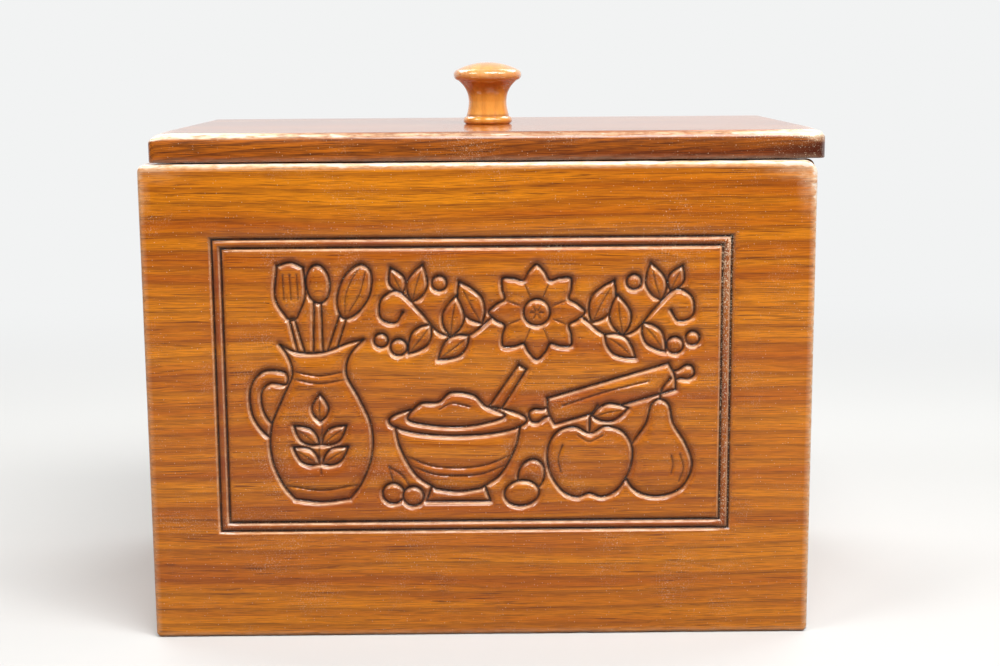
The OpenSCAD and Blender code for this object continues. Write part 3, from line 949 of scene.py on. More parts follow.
@dataclass
class CarvedFront:
    """The front board: rounded slab, tongue between the sides, double groove and carved field.

    Sizes are in millimetres. The frame's margins run from the board's edges to the outer groove.
    A groove's or a line's width is measured from its middle to where it is about a third as deep.
    """

    body: str = "box"
    lip: float = 4.75
    wall: float = 9.5
    bottom: float = 6.4
    corners: dict[tuple[int, int], float] = field(
        default_factory=lambda: {(-1, 1): 1.7, (1, 1): 3.2, (-1, -1): 1.2, (1, -1): 1.2}
    )
    edge_radius: float = 0.95
    tongue_radius: float = 0.5
    frame_left: float = 16.0
    frame_right: float = 18.95
    frame_top: float = 16.9
    frame_bottom: float = 25.35
    groove_step: float = 2.05
    groove_depth: float = 0.75
    groove_width: float = 0.5
    line_depth: float = 1.05
    line_width: float = 0.6
    fine_depth: float = 0.45
    fine_width: float = 0.34
    lead: float = 0.9
    slice_spacing: float = 3.0
    wall_cuts: Point = (1.6, 2.6)
    ring_spacing: float = 0.13
    field_spacing: float = 0.5
    fine_reach: Point = (1.05, 0.5)
    snap: float = 0.13
    pocket: float = 2.0
    # Direction the light comes from across the face: shoulders that face it get a painted highlight, and dark
    # lines broaden into painted shade on walls that face away.
    lit: Point = (0.5, 0.87)
    painted_highlight: float = 0.85
    edge_wear: float = 0.6
    worn_back: float = 2.0
    chip_back: float = 0.16
    chip_in: float = 0.14
    corner_inset: float = 2.5
    corner_wear: float = 6.5
    left_share: float = 0.3
    haze_at: Point = (48.0, 96.0)
    haze_size: Point = (40.0, 22.0)
    low_shade: float = 32.0

    def __post_init__(self) -> None:
        """Takes the board's place from the CAD node, and draws the picture."""
        low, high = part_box("front_board")
        self.low, self.high = np.array(low) / MM, np.array(high) / MM
        self.outer = (
            self.low[0] + self.frame_left,
            self.low[2] + self.frame_bottom,
            self.high[0] - self.frame_right,
            self.high[2] - self.frame_top,
        )
        self.band = [edge + (-self.lead if i < 2 else self.lead) for i, edge in enumerate(self.outer)]
        margin = self.groove_step + self.lead
        self.field = [edge + (margin if i < 2 else -margin) for i, edge in enumerate(self.outer)]
        self.origin = (self.outer[0] + self.groove_step, self.outer[1] + self.groove_step)
        self.carving = KitchenCarving()
        self.carving.draw()

    def build(self, finish: StainedPine) -> list[bpy.types.Object]:
        """Builds both meshes of the board and dresses them.

        Args:
            finish: the wood that the board is cut from.

        Returns:
            The board and the field inside its frame.
        """
        pieces = [self._board(), self._carved_field()]
        material = finish.material()
        for piece in pieces:
            dress(piece, material)
        return pieces

    def _grit(self, points: np.ndarray) -> np.ndarray:
        """Returns how much pale grit lies in the right side of the frame, from 0 to 1."""
        return 0.5 * np.exp(-((np.abs(points[:, 0] - self.outer[2] + self.groove_step / 2) / 1.6) ** 4))

    def _stain_line_and_shade(self, distance: np.ndarray, facing: np.ndarray) -> np.ndarray:
        """Lays the dark stain in a line, broadened as painted shade on the wall that faces away from the
        light.

        Args:
            distance: distance of each point to the line's middle.
            facing: how much the wall at each point faces up and to the right, from -1 to 1.

        Returns:
            How much stain lies at each point, from 0 to 1.
        """
        return np.exp(-((distance / (0.26 + 0.18 * np.clip(-facing, 0, 1))) ** 3))

    def frame_relief(self, points: np.ndarray) -> Relief:
        """Cuts the double groove of the frame.

        Args:
            points: rows of X and Z on the face, in millimetres.

        Returns:
            The relief at each point.
        """
        x0, z0, x1, z1 = self.outer
        sides = np.array([points[:, 0] - x0, x1 - points[:, 0], points[:, 1] - z0, z1 - points[:, 1]])
        inward = sides.min(axis=0)
        first, second = inward, inward - self.groove_step
        across = np.where(np.abs(first) < np.abs(second), first, second)
        near = np.abs(across)
        lit = np.array(self.lit)[[0, 0, 1, 1]] * np.array([-1, 1, -1, 1])
        facing = np.sign(across) * lit[sides.argmin(axis=0)]
        core = np.exp(-((near / self.groove_width) ** 2.2))
        # Painted highlight on the shoulders that face the light, over a little even wear.
        rubbed = 0.1 + self.painted_highlight * np.clip(facing, 0, 1)
        bead = ((inward > 0) & (inward < self.groove_step)).astype(float)
        return Relief(
            depth=self.groove_depth * core + 0.1 * np.exp(-((near / 1.2) ** 2)),
            groove=self._stain_line_and_shade(near, facing),
            shoulder=rubbed * np.exp(-(((near - 0.46) / 0.15) ** 2)),
            shade=0.35 * np.exp(-((near / 1.4) ** 2)) + 0.7 * bead,
        )

    def field_relief(
        self, points: np.ndarray, bold: np.ndarray, fine: np.ndarray, facing: np.ndarray
    ) -> Relief:
        """Cuts the picture, with the ground beside its lines sunk a little.

        Args:
            points: rows of X and Z on the face, in millimetres.
            bold: distance of each point to the nearest bold line.
            fine: distance of each point to the nearest fine line.
            facing: how much the wall at each point faces up and to the right, from -1 to 1.

        Returns:
            The relief at each point.
        """
        inside = np.zeros(len(points), dtype=bool)
        local = points - np.array(self.origin)
        for outline in self.carving.shapes:
            inside |= within(local, outline)
        core = np.exp(-((bold / self.line_width) ** 1.9))
        side = np.where(inside, 0.3, 0.15) * np.exp(-((bold / np.where(inside, 2.0, 1.3)) ** 2))
        depth = self.line_depth * core + side * (1 - 0.5 * core)
        # Painted highlight on the shoulders that face the light, over a little even wear.
        rubbed = 0.08 + self.painted_highlight * np.clip(facing, 0, 1)
        return Relief(
            depth=np.maximum(depth, self.fine_depth * np.exp(-((fine / self.fine_width) ** 2))),
            groove=np.maximum(self._stain_line_and_shade(bold, facing), 0.7 * np.exp(-((fine / 0.2) ** 2))),
            shoulder=rubbed * np.exp(-(((bold - 0.52) / 0.17) ** 2)),
            shade=0.6 * np.exp(-((bold / 1.0) ** 2)) + 0.15 * np.exp(-bold / 4.0) + 0.08 * inside,
        )

    def _board(self) -> bpy.types.Object:
        """Builds the slab with its rounded edges and the double groove, and the tongue behind it.

        Returns:
            The board.
        """
        bm = bmesh.new()
        self._add_slab(bm)
        left, bottom, right, top = self.band
        slice_every(bm, 0, self._cuts(self.low[0], self.high[0], left, right))
        slice_every(bm, 2, self._cuts(self.low[2], self.high[2], bottom, top))
        slice_every(bm, 1, (self.low[1] + np.array(self.wall_cuts)) * MM)
        self._ring_frame(bm)
        self._add_tongue(bm)
        bmesh.ops.recalc_face_normals(bm, faces=bm.faces[:])
        piece = new_piece("front_board_carved", bm, self.body, ["front_board"])
        self._shape_board(piece)
        return piece

    def _add_slab(self, bm: bmesh.types.BMesh) -> None:
        """Adds the slab, with each corner rounded by its own radius and the front edges by one.

        Args:
            bm: the board's mesh.
        """
        x0, y0, z0 = self.low * MM
        x1, _, z1 = self.high * MM
        block(bm, (x0, y0, z0), (x1, y0 + self.lip * MM, z1))
        for (side, end), radius in self.corners.items():
            corner = (x1 if side > 0 else x0, z1 if end > 0 else z0)
            upright = edges_where(bm, lambda p, c=corner: math.hypot(p.x - c[0], p.z - c[1]) < SAME_PLACE)
            round_edges(bm, upright, radius * MM, 8)
        front = edges_where(bm, lambda p: p.y < y0 + SAME_PLACE)
        round_edges(bm, front, self.edge_radius * MM, 6)

    def _cuts(self, low: float, high: float, band_low: float, band_high: float) -> np.ndarray:
        """Finds where the slab is cut along X or Z, with the frame's band of rings left clear.

        Args:
            low: the board's lower end, in millimetres.
            high: its upper end.
            band_low: outer edge of the band near the lower end.
            band_high: outer edge of the band near the upper end.

        Returns:
            The places of the cuts, in metres.
        """
        clear, beside = self.groove_step + 2 * self.lead + 1, 0.4
        border = self.edge_radius + 0.75
        places = [
            place
            for place in np.arange(low + self.slice_spacing, high - self.slice_spacing, self.slice_spacing)
            if not (-clear < band_low - place < beside or -clear < place - band_high < beside)
        ]
        return np.array([*places, low + border, high - border, band_low, band_high]) * MM

    def _ring_frame(self, bm: bmesh.types.BMesh) -> None:
        """Insets rings for the double groove, and sinks a pocket for the field inside them.

        Args:
            bm: the board's mesh.
        """
        left, bottom, right, top = self.band
        front = [
            f
            for f in bm.faces
            if f.normal.y < FLAT
            and left < f.calc_center_median().x / MM < right
            and bottom < f.calc_center_median().z / MM < top
        ]
        front = bmesh.ops.dissolve_faces(bm, faces=front, use_verts=False)["region"]
        band_width = self.groove_step + 2 * self.lead
        rings = round(band_width / self.ring_spacing)
        for _ in range(rings):
            bmesh.ops.inset_region(bm, faces=front, thickness=band_width / rings * MM, use_even_offset=True)
        bmesh.ops.inset_region(bm, faces=front, thickness=0.0, depth=-self.pocket * MM)

    def _add_tongue(self, bm: bmesh.types.BMesh) -> None:
        """Adds the part of the board that stands between the sides, rounded at its top inner edge.

        Args:
            bm: the board's mesh.
        """
        inner = (self.wall + self.low[0]) * MM
        front, back = (self.low[1] * MM + depth * MM for depth in (self.lip, self.wall))
        tongue = block(bm, (inner, front, self.bottom * MM), (-inner, back, self.high[2] * MM))
        top, rear = max(v.co.z for v in tongue), max(v.co.y for v in tongue)
        edge = edges_where(bm, lambda p: p.y > rear - SAME_PLACE and p.z > top - SAME_PLACE)
        round_edges(bm, edge, self.tongue_radius * MM, 3)

    def _shape_board(self, piece: bpy.types.Object) -> None:
        """Sinks the double groove, wears the edges and stores what the finish reads.

        Args:
            piece: the board.
        """
        places = coordinates(piece)
        mm = places / MM
        from_top, from_right = self.high[2] - mm[:, 2], self.high[0] - mm[:, 0]
        inset = np.minimum.reduce([mm[:, 0] - self.low[0], from_right, mm[:, 2] - self.low[2], from_top])
        on_face = mm[:, 1] < self.low[1] + 1e-3
        relief = self.frame_relief(mm[:, [0, 2]])
        places[on_face, 1] = self.low[1] * MM + relief.depth[on_face] * MM

        reach = self.edge_radius + self.edge_wear
        in_front = mm[:, 1] < self.low[1] + self.worn_back
        top = np.clip(1 - from_top / reach, 0, 1) * np.clip(1 - (mm[:, 1] - self.low[1] - reach), 0, 1)
        right = np.clip(1 - from_right / reach, 0, 1)
        rim = np.clip(1 - inset / reach, 0, 1) * in_front
        chip = chips(mm, rim, 3.1, 1.3, 0.6)
        inward = np.where(mm[:, 2] > 0.5 * self.high[2], -1, 1)
        places[:, 1] += self.chip_back * MM * rim * chip
        places[:, 2] += inward * self.chip_in * MM * rim * chip
        move_vertices(piece, places)

        across, below = np.abs(mm[:, 0]) - self.high[0], mm[:, 2] - self.high[2]
        from_corner = np.hypot(across + self.corner_inset, below + self.corner_inset)
        corner = np.exp(-((from_corner / self.corner_wear) ** 2)) * np.where(mm[:, 0] > 0, 1, self.left_share)
        broad = np.clip(1 - inset / 3.0, 0, 1) * corner * in_front
        beside, above = (mm[:, [0, 2]] - np.array(self.haze_at)).T / np.array(self.haze_size)[:, None]
        upper_right = np.exp(-np.hypot(beside, above))
        mark(
            piece,
            groove=relief.groove * on_face,
            shoulder=relief.shoulder * on_face,
            shade=relief.shade * on_face,
            edge=0.4 * rim + 0.95 * top + 0.5 * right**2 + 1.2 * broad,
            haze=0.6 * rim * corner + (self._grit(mm[:, [0, 2]]) + 0.3 * upper_right) * on_face,
        )

    def _carved_field(self) -> bpy.types.Object:
        """Builds the slab inside the frame, fine enough near the lines to hold the carving.

        Returns:
            The field.
        """
        bm = bmesh.new()
        x0, z0, x1, z1 = self.field
        wide, high = x1 - x0, z1 - z0
        place = (
            Matrix.Translation(((x0 + x1) / 2 * MM, self.low[1] * MM, (z0 + z1) / 2 * MM))
            @ Matrix.Rotation(math.pi / 2, 4, "X")
            @ Matrix.Diagonal((wide / 2 * MM, high / 2 * MM, 1, 1))
        )
        bmesh.ops.create_grid(
            bm,
            x_segments=round(wide / self.field_spacing),
            y_segments=round(high / self.field_spacing),
            size=1.0,
            matrix=place,
        )
        trees = [self._tree(self.carving.bold), self._tree(self.carving.fine)]
        close = [
            f
            for f in bm.faces
            for c in [Vector((f.calc_center_median().x / MM, f.calc_center_median().z / MM, 0))]
            if any(tree.find(c)[2] < reach for tree, reach in zip(trees, self.fine_reach, strict=True))
        ]
        edges = list({e for f in close for e in f.edges})
        bmesh.ops.subdivide_edges(bm, edges=edges, cuts=1, use_grid_fill=True)
        rim = [e for e in bm.edges if e.is_boundary]
        grown = bmesh.ops.extrude_edge_only(bm, edges=rim)["geom"]
        walls = [g for g in grown if isinstance(g, bmesh.types.BMVert)]
        bmesh.ops.translate(bm, verts=walls, vec=(0, self.pocket * MM, 0))
        bmesh.ops.holes_fill(bm, edges=[e for e in bm.edges if e.is_boundary])
        bmesh.ops.recalc_face_normals(bm, faces=bm.faces[:])
        piece = new_piece("front_board_picture", bm, self.body, ["front_board"])
        self._shape_field(piece, trees)
        return piece

    def _tree(self, lines: Sequence[np.ndarray]) -> kdtree.KDTree:
        """Makes a search tree of the points of lines.

        Args:
            lines: rows of two coordinates each, in the carving's own millimetres.

        Returns:
            The tree, in millimetres in the plane of the face.
        """
        points = np.vstack(lines) + np.array(self.origin)
        tree = kdtree.KDTree(len(points))
        for i, (x, z) in enumerate(points):
            tree.insert((x, z, 0), i)
        tree.balance()
        return tree

    def _shape_field(self, piece: bpy.types.Object, trees: Sequence[kdtree.KDTree]) -> None:
        """Sinks the picture's lines and stores what the finish reads.

        A vertex within the snap distance of a line is first moved onto it, so that the lines'
        bottoms run smooth.

        Args:
            piece: the field.
            trees: search trees of the bold and of the fine lines.
        """
        places = coordinates(piece)
        mm = places / MM
        on_face = mm[:, 1] < self.low[1] + 0.5 * self.pocket
        near = []
        for tree in trees:
            found = [tree.find((x, z, 0)) for x, _, z in mm]
            target, distance = np.array([f[0] for f in found]), np.array([f[2] for f in found])
            caught = on_face & (distance < self.snap)
            places[caught, 0] = target[caught, 0] * MM
            places[caught, 2] = target[caught, 1] * MM
            distance[caught] = 0
            near.append((distance, target))
        points = places[:, [0, 2]] / MM
        (bold, nearest), (fine, _) = near
        facing = (nearest[:, :2] - points) @ np.array(self.lit) / np.maximum(bold, 0.1)
        relief = self.field_relief(points, bold, fine, facing)
        ring = self.frame_relief(points)
        depth = np.maximum(relief.depth, ring.depth)
        places[on_face, 1] = (self.low[1] + depth[on_face]) * MM
        move_vertices(piece, places)
        # Painted shade: the field is darker towards the bottom.
        painted_shade_low_down = np.clip((self.origin[1] + self.low_shade - points[:, 1]) / self.low_shade, 0, 1)
        mark(
            piece,
            groove=relief.groove * on_face,
            shoulder=np.maximum(relief.shoulder, ring.shoulder) * on_face,
            shade=(np.maximum(relief.shade, ring.shade) + 0.22 * painted_shade_low_down) * on_face,
            haze=self._grit(points) * on_face,
        )


@dataclass
class Lid:
    """The lid board, copied from the CAD solid with its recesses and then worn along its edges.

    Sizes are in millimetres. The arris is the middle of the upper edge's worn strip, measured in
    from the side and down from the top.
    """

    body: str = "lid"
    arris: float = 0.55
    reach: float = 0.85
    lower_reach: float = 1.2
    slice_mm: float = 2.5
    edge_slice_mm: float = 0.7
    chip_depth: float = 0.3
    corner_drop: float = 0.9
    corner_depth: float = 9.0
    corner_width: float = 4.5

    def build(self, finish: StainedPine) -> bpy.types.Object:
        """Builds the worn board and dresses it.

        Args:
            finish: the wood that the lid is cut from.

        Returns:
            The lid board.
        """
        bm = bmesh.new()
        bm.from_mesh(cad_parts["lid_board"].data)
        bmesh.ops.remove_doubles(bm, verts=bm.verts[:], dist=SAME_PLACE)
        low, high = (np.array(corner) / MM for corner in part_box("lid_board"))
        slice_every(bm, 0, np.arange(low[0] + 1, high[0] - 0.5, self.slice_mm) * MM)
        slice_every(bm, 1, np.arange(low[1] + 1, high[1] - 0.5, self.slice_mm) * MM)
        slice_every(bm, 2, np.arange(low[2] + 0.7, high[2] - 0.9, self.edge_slice_mm) * MM)
        piece = new_piece("lid_board_worn", bm, self.body, ["lid_board"])
        # The solid's stored normals don't fit the new cuts, so they are worked out afresh, and
        # the underside is shaded flat, so that its recesses' edges don't bend the light.
        piece.data.attributes.remove(piece.data.attributes["custom_normal"])
        for face in piece.data.polygons:
            face.use_smooth = face.normal.z > FLAT
        self._wear(piece, low, high)
        dress(piece, finish.material())
        return piece

    def _wear(self, piece: bpy.types.Object, low: np.ndarray, high: np.ndarray) -> None:
        """Dents the rounded edges a little and stores what the finish reads.

        Args:
            piece: the lid board.
            low: its lowest corner, in millimetres.
            high: its highest corner.
        """
        places = coordinates(piece)
        mm = places / MM
        from_left, from_right = mm[:, 0] - low[0], high[0] - mm[:, 0]
        from_front, from_back = mm[:, 1] - low[1], high[1] - mm[:, 1]
        from_top = high[2] - mm[:, 2]
        inset = np.minimum.reduce([from_left, from_right, from_front, from_back])
        upper = np.clip(1.15 - np.hypot(inset - self.arris, from_top - self.arris) / self.reach, 0, 1)
        lower = np.clip(1 - np.hypot(inset, mm[:, 2] - low[2]) / self.lower_reach, 0, 1)
        places[:, 2] -= self.chip_depth * MM * upper * chips(mm, upper, 4.0, 1.4, 0.5)
        near_end = np.clip(1 - np.minimum(from_left, from_right) / self.corner_width, 0, 1)
        rubbed = np.exp(-((from_front / self.corner_depth) ** 2)) * near_end**2
        places[:, 2] -= self.corner_drop * MM * rubbed * np.clip(1 - from_top / 3.5, 0, 1)
        move_vertices(piece, places)

        inward = from_front / 8
        right = np.clip(1.5 * np.exp(-np.hypot(from_right / 9, inward)), 0, 1)
        left = np.clip(1.8 * np.exp(-np.hypot(from_left / 20, inward)), 0, 1)
        brow = np.clip(1 - from_top / (0.8 + 2.0 * right**2 + 0.4 * left), 0, 1)
        brow *= np.clip(1.3 - inset / 3, 0, 1)
        along = from_left / (high[0] - low[0])
        below_top = from_top > 0.01
        front = below_top * (inward < 0.2)
        # Painted shade on the lower part of the right end, partly in the darkest stain colour; the board is
        # also darker towards the right.
        painted_shade_end = right * np.clip(from_top - 2.5, 0, 1)
        patchy = np.array([0.55 + 0.5 * noise.noise(Vector((x / 9.0, 3.3, 0.0))) for x in mm[:, 0]])
        worn = (patchy + 0.8 * np.maximum(right, left)) * upper + 0.2 * lower
        mark(
            piece,
            groove=0.3 * painted_shade_end,
            shade=0.5 * np.clip(2 * along - 0.2, 0, 1) * below_top + painted_shade_end,
            edge=worn + 1.5 * (right + left) * brow,
            haze=0.6 * right * brow + front * (0.28 * np.clip(2.4 * along - 0.9, 0, 1) + 0.1 * right),
        )


@dataclass
class Knob:
    """The turned knob, drawn as half a section and spun round its axis.

    Sizes are in millimetres, with heights from the knob's foot.
    """

    body: str = "lid"
    foot_r: float = 6.05
    foot_h: float = 1.9
    neck_r: float = 4.7
    neck_z: float = 5.6
    cove_low: float = 10.5
    cove_high: float = 6.2
    head_r: float = 8.4
    rim_r: float = 1.4
    rim_z: float = 12.0
    height: float = 15.1
    crease_width: float = 0.3
    under_z: float = 9.2
    under_width: float = 2.0
    rim_wear: float = 0.2
    segments: int = 96

    def section(self) -> list[Point]:
        """Draws half a section of the knob, from the middle of the foot to the top.

        Returns:
            Points as radius and height.
        """
        rim_x = self.head_r - self.rim_r
        crown = self.height - self.rim_z
        dome = (rim_x**2 + crown**2 - self.rim_r**2) / (2 * (crown - self.rim_r))
        meeting = math.degrees(math.atan2(dome - crown, rim_x))
        foot = self.foot_h / 2
        points = [(0.0, 0.0), (self.foot_r - foot, 0.0)]
        points += oval((self.foot_r - foot, foot), (foot, foot), start=-70, end=75)
        low_centre = self.neck_r + self.cove_low
        start = math.degrees(math.asin((self.neck_z - self.foot_h - 0.35) / self.cove_low))
        points += oval((low_centre, self.neck_z), (self.cove_low,) * 2, start=180 + start, end=182)
        high_centre = self.neck_r + self.cove_high
        end = math.degrees(math.asin((self.rim_z - self.rim_r * 1.05 - self.neck_z) / self.cove_high))
        points += oval((high_centre, self.neck_z), (self.cove_high,) * 2, start=178, end=180 - end)
        points += oval((rim_x, self.rim_z), (self.rim_r,) * 2, start=-52, end=meeting)
        points += oval((0.0, self.height - dome), (dome,) * 2, start=meeting + 6, end=90)
        return points

    def build(self, finish: StainedPine) -> bpy.types.Object:
        """Spins the section and dresses the knob.

        Args:
            finish: the wood that the knob is turned from.

        Returns:
            The knob.
        """
        low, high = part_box("lid_knob")
        axis = (Vector(low) + Vector(high)) / 2
        bm = bmesh.new()
        line = smooth_line(self.section(), step=0.35)
        line[:, 0] = np.clip(line[:, 0], 0, self.head_r)
        line[:, 1] = np.clip(line[:, 1], 0, self.height)
        verts = [bm.verts.new((axis.x + r * MM, axis.y, low[2] + z * MM)) for r, z in line]
        verts[-1].co.x = verts[0].co.x = axis.x
        edges = [bm.edges.new(pair) for pair in zip(verts, verts[1:], strict=False)]
        bmesh.ops.spin(
            bm,
            geom=verts + edges,
            cent=axis,
            axis=(0, 0, 1),
            angle=math.tau,
            steps=self.segments,
            use_merge=True,
        )
        bmesh.ops.remove_doubles(bm, verts=bm.verts[:], dist=SAME_PLACE)
        bmesh.ops.recalc_face_normals(bm, faces=bm.faces[:])
        piece = new_piece("lid_knob_turned", bm, self.body, ["lid_knob"])
        mm = coordinates(piece) / MM
        radius = np.hypot(mm[:, 0] - axis.x / MM, mm[:, 1] - axis.y / MM)
        height = mm[:, 2] - low[2] / MM
        from_crease = (height - self.foot_h - 0.2) / self.crease_width
        crease = np.exp(-(from_crease**2)) * (radius < self.foot_r)
        # Painted shade under the head's flare; the crease above the foot is darkened too.
        painted_shade_under_head = np.exp(-(((height - self.under_z) / self.under_width) ** 4))
        rim = self.rim_wear * (radius > self.head_r - 1.2) * (height > self.rim_z - 1.0)
        mark(piece, groove=0.35 * crease, shade=0.7 * painted_shade_under_head + 0.3 * crease, edge=rim)
        dress(piece, finish.material())
        return piece


@dataclass
class PlainBoards:
    """The back, side and bottom boards, which keep their CAD shape."""

    finishes: dict[str, StainedPine]

    def dress(self) -> list[str]:
        """Gives each board its own cut of wood.

        Returns:
            The boards' names.
        """
        for node, finish in self.finishes.items():
            dress(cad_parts[node], finish.material())
        return list(self.finishes)


@dataclass
class Hardware:
    """Hinges, screws and brads, which keep their CAD shape.

    The hinges are rolled brass, which gives a soft yellow sheen with browner patches, and the
    brads and the knob's screw are drawn steel, which gives a grey shine with dull spots.
    """

    brass: Metal = Metal("satin_brass_tarnished", "c9a45c", "8a6a3c")
    steel: Metal = Metal("bright_steel_wire", "b4b2ae", "6f6a64", 0.35)

    def dress(self) -> list[str]:
        """Gives each metal piece its metal.

        Returns:
            The pieces' names.
        """
        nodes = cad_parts
        hinges = [name for name in nodes if "hinge" in name]
        fixings = [name for name in nodes if "brads" in name or name == "knob_screw"]
        for metal, names in ((self.brass, hinges), (self.steel, fixings)):
            material = metal.material()
            for name in names:
                dress(nodes[name], material)
        return hinges + fixings


@dataclass
class Studio:
    """Pale floor and backdrop, soft lamps, and the camera that took the view.

    Places are in metres, and the camera's angles in degrees.
    """

    camera_at: tuple[float, float, float] = (0.0024, -0.4103, 0.1332)
    pitch: float = 9.581
    yaw: float = -0.358
    roll: float = -0.406
    lens_mm: float = 58.97
    floor: str = "d0d0ce"
    floor_bounce: str = "7c7c7a"
    backdrop: str = "f2f3f3"
    room: float = 0.13
    room_light: str = "f6f7fa"

    def build(self) -> None:
        """Makes the camera, the lamps, the world and the floor."""
        self._camera()
        self._floor()
        self._world()
        self._lamp("key_softbox", (0.1, -0.33, 0.52), (0.0, -0.02, 0.08), (0.34, 0.26), 3.0)
        self._lamp("left_back_softbox", (-0.42, 0.42, 0.66), (0.0, 0.0, 0.1), (0.6, 0.32), 3.2)
        self._lamp("right_back_softbox", (0.42, 0.42, 0.66), (0.0, 0.0, 0.1), (0.6, 0.32), 3.2)
        self._lamp("left_front_softbox", (-0.55, -0.38, 0.62), (0.0, 0.0, 0.07), (0.34, 0.2), 2.6)
        self._lamp("right_front_softbox", (0.55, -0.38, 0.62), (0.0, 0.0, 0.07), (0.34, 0.2), 3.0)

    def _camera(self) -> None:
        """Places the camera as it stood for the photograph's view."""
        data = bpy.data.cameras.new("camera")
        data.sensor_width = 36.0
        data.lens = self.lens_mm
        data.clip_start, data.clip_end = 0.01, 20.0
        camera = bpy.data.objects.new("camera", data)
        turn = (
            Matrix.Rotation(math.radians(self.yaw), 4, "Z")
            @ Matrix.Rotation(math.radians(90 - self.pitch), 4, "X")
            @ Matrix.Rotation(math.radians(self.roll), 4, "Z")
        )
        camera.matrix_world = Matrix.Translation(self.camera_at) @ turn
        bpy.context.scene.collection.objects.link(camera)
        bpy.context.scene.camera = camera

    def _seen(self, tree: Tree, mirrored: float) -> Node:
        """Finds the rays that see the background: the camera's, mirrored and clear ones.

        Args:
            tree: the material's or the world's node tree.
            mirrored: how much of it a reflection shows.

        Returns:
            The node that gives how much of the background a ray sees.
        """
        rays = add_node(tree, "LightPath").outputs
        gloss = add_node(tree, "Math", {0: rays["Is Glossy Ray"], 1: mirrored}, operation="MULTIPLY")
        direct = add_node(tree, "Math", {0: rays["Is Camera Ray"], 1: gloss}, operation="MAXIMUM")
        return add_node(tree, "Math", {0: direct, 1: rays["Is Transmission Ray"]}, operation="MAXIMUM")

    def _floor(self) -> None:
        """Makes a floor that curves up into a backdrop, and fades to an even pale tone far off."""
        bm = bmesh.new()
        half, front, back, bend, height = 3.0, -3.0, 1.6, 0.6, 2.4
        line = [(front, 0.0), (back - bend, 0.0)]
        line += [
            (back - bend + bend * math.sin(a), bend - bend * math.cos(a))
            for a in (math.radians(9 * i) for i in range(1, 10))
        ]
        line += [(back, bend), (back, height)]
        verts = [bm.verts.new((-half, y, z)) for y, z in line]
        edges = [bm.edges.new(pair) for pair in zip(verts, verts[1:], strict=False)]
        grown = bmesh.ops.extrude_edge_only(bm, edges=edges)["geom"]
        far_side = [g for g in grown if isinstance(g, bmesh.types.BMVert)]
        bmesh.ops.translate(bm, verts=far_side, vec=(2 * half, 0, 0))
        mesh = bpy.data.meshes.new("floor")
        bm.to_mesh(mesh)
        bm.free()
        mesh.shade_smooth()
        floor = bpy.data.objects.new("floor", mesh)
        bpy.context.scene.collection.objects.link(floor)
        # Matt painted paper: an even pale grey that shows no shine, only the box's soft shadow.
        material, tree = new_material("painted_paper_backdrop")
        bounce, seen = linear(self.floor_bounce), self._seen(tree, 0.4)
        tone = add_node(tree, "Mix", {"Factor": seen, "A": bounce, "B": linear(self.floor)}, data_type="RGBA")
        paper = add_node(
            tree, "BsdfPrincipled", {"Base Color": tone, "Roughness": 0.9, "Specular IOR Level": 0.1}
        )
        glow = add_node(tree, "Emission", {"Color": linear(self.backdrop)})
        place = add_node(tree, "TexCoord").outputs["Object"]
        behind = add_node(tree, "SeparateXYZ", {"Vector": place}).outputs["Y"]
        far = add_node(
            tree,
            "MapRange",
            {"Value": behind, "From Min": 0.06, "From Max": 0.5},
            interpolation_type="SMOOTHERSTEP",
        )
        share = add_node(tree, "Math", {0: far, 1: self._seen(tree, 1.0)}, operation="MULTIPLY")
        surface = add_node(tree, "MixShader", {0: share, 1: paper, 2: glow})
        add_node(tree, "OutputMaterial", {"Surface": surface})
        mesh.materials.append(material)

    def _world(self) -> None:
        """Fills the room with even light, and shows the backdrop's tone where it is seen."""
        world = bpy.data.worlds.new("room")
        bpy.context.scene.world = world
        world.use_nodes = True
        tree = world.node_tree
        tree.nodes.clear()
        light = add_node(tree, "Background", {"Color": linear(self.room_light), "Strength": self.room})
        pale = add_node(tree, "Background", {"Color": linear(self.backdrop), "Strength": 1.0})
        both = add_node(tree, "MixShader", {0: self._seen(tree, 0.25), 1: light, 2: pale})
        add_node(tree, "OutputWorld", {"Surface": both})

    def _lamp(
        self,
        name: str,
        place: tuple[float, float, float],
        aim: tuple[float, float, float],
        size: tuple[float, float],
        watts: float,
    ) -> None:
        """Adds a soft rectangular lamp.

        Args:
            name: its name.
            place: where it hangs.
            aim: the point that it faces.
            size: width and height.
            watts: its power.
        """
        data = bpy.data.lights.new(name, "AREA")
        data.shape = "RECTANGLE"
        data.size, data.size_y = size
        data.energy = watts
        lamp = bpy.data.objects.new(name, data)
        lamp.location = place
        lamp.rotation_euler = (Vector(aim) - Vector(place)).to_track_quat("-Z", "Y").to_euler()
        bpy.context.scene.collection.objects.link(lamp)


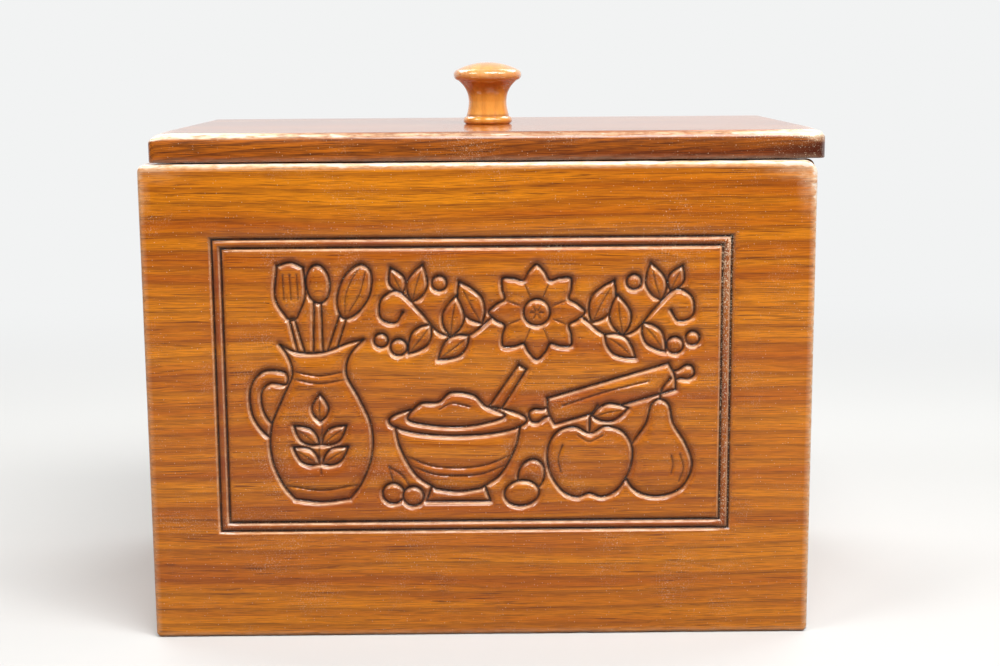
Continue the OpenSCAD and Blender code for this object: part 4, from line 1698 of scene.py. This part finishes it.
def report(names: Iterable[str]) -> None:
    """Logs each finished piece with its size in millimetres.

    Args:
        names: the pieces' names.
    """
    for name in names:
        size = bpy.data.objects[name].dimensions / MM
        log.info("%s: %.1f x %.1f x %.1f mm", name, *size)


def main() -> None:
    """Builds the scene: studio first, then each sub-assembly with its finish."""
    logging.basicConfig(level=logging.INFO, format="%(message)s")
    bpy.context.scene.view_settings.view_transform = "Standard"
    Studio().build()
    front = StainedPine("stained_pine_front", Grain.ALONG_X, (0.11, 0.03, 0.02))
    # The lid's wood is darker and cut across narrow rings, which show as close slanting stripes.
    lid = StainedPine(
        "stained_pine_lid",
        Grain.ALONG_X,
        (0.43, 0.21, 0.37),
        light="d07010",
        middle="923f08",
        dark="38180a",
        ring_mm=0.95,
        ring_tilt=50.0,
        ring_slope=22.0,
        ring_strength=0.5,
        fibre_strength=0.75,
        shaded="5a220c",
        coat=0.85,
        haze_amount=0.6,
    )
    # The knob was turned and polished, so it is smooth, even and very glossy, and holds no dust.
    knob = StainedPine(
        "turned_pine_knob",
        Grain.ALONG_Z,
        (0.2, 0.7, 0.5),
        light="ea9e3c",
        middle="ce7c26",
        dark="9a5018",
        shaded="8c3a10",
        fibre_strength=0.15,
        line_strength=0.1,
        ring_strength=0.15,
        roughness=0.3,
        coat=1.0,
        coat_roughness=0.05,
        coat_ior=1.7,
        speck_share=0.0,
        haze_amount=0.0,
    )
    boards = {
        "back_board": StainedPine("stained_pine_back", Grain.ALONG_X, (0.7, 0.12, 0.3)),
        "left_side": StainedPine("stained_pine_left", Grain.ALONG_Y, (0.15, 0.4, 0.6)),
        "right_side": StainedPine("stained_pine_right", Grain.ALONG_Y, (0.55, 0.1, 0.25)),
        "bottom_board": StainedPine("stained_pine_bottom", Grain.ALONG_X, (0.35, 0.5, 0.1), coat=0.2),
    }
    report(piece.name for piece in CarvedFront().build(front))
    report([Lid().build(lid).name, Knob().build(knob).name])
    report(PlainBoards(boards).dress())
    report(Hardware().dress())


if __name__ == "__main__":
    main()
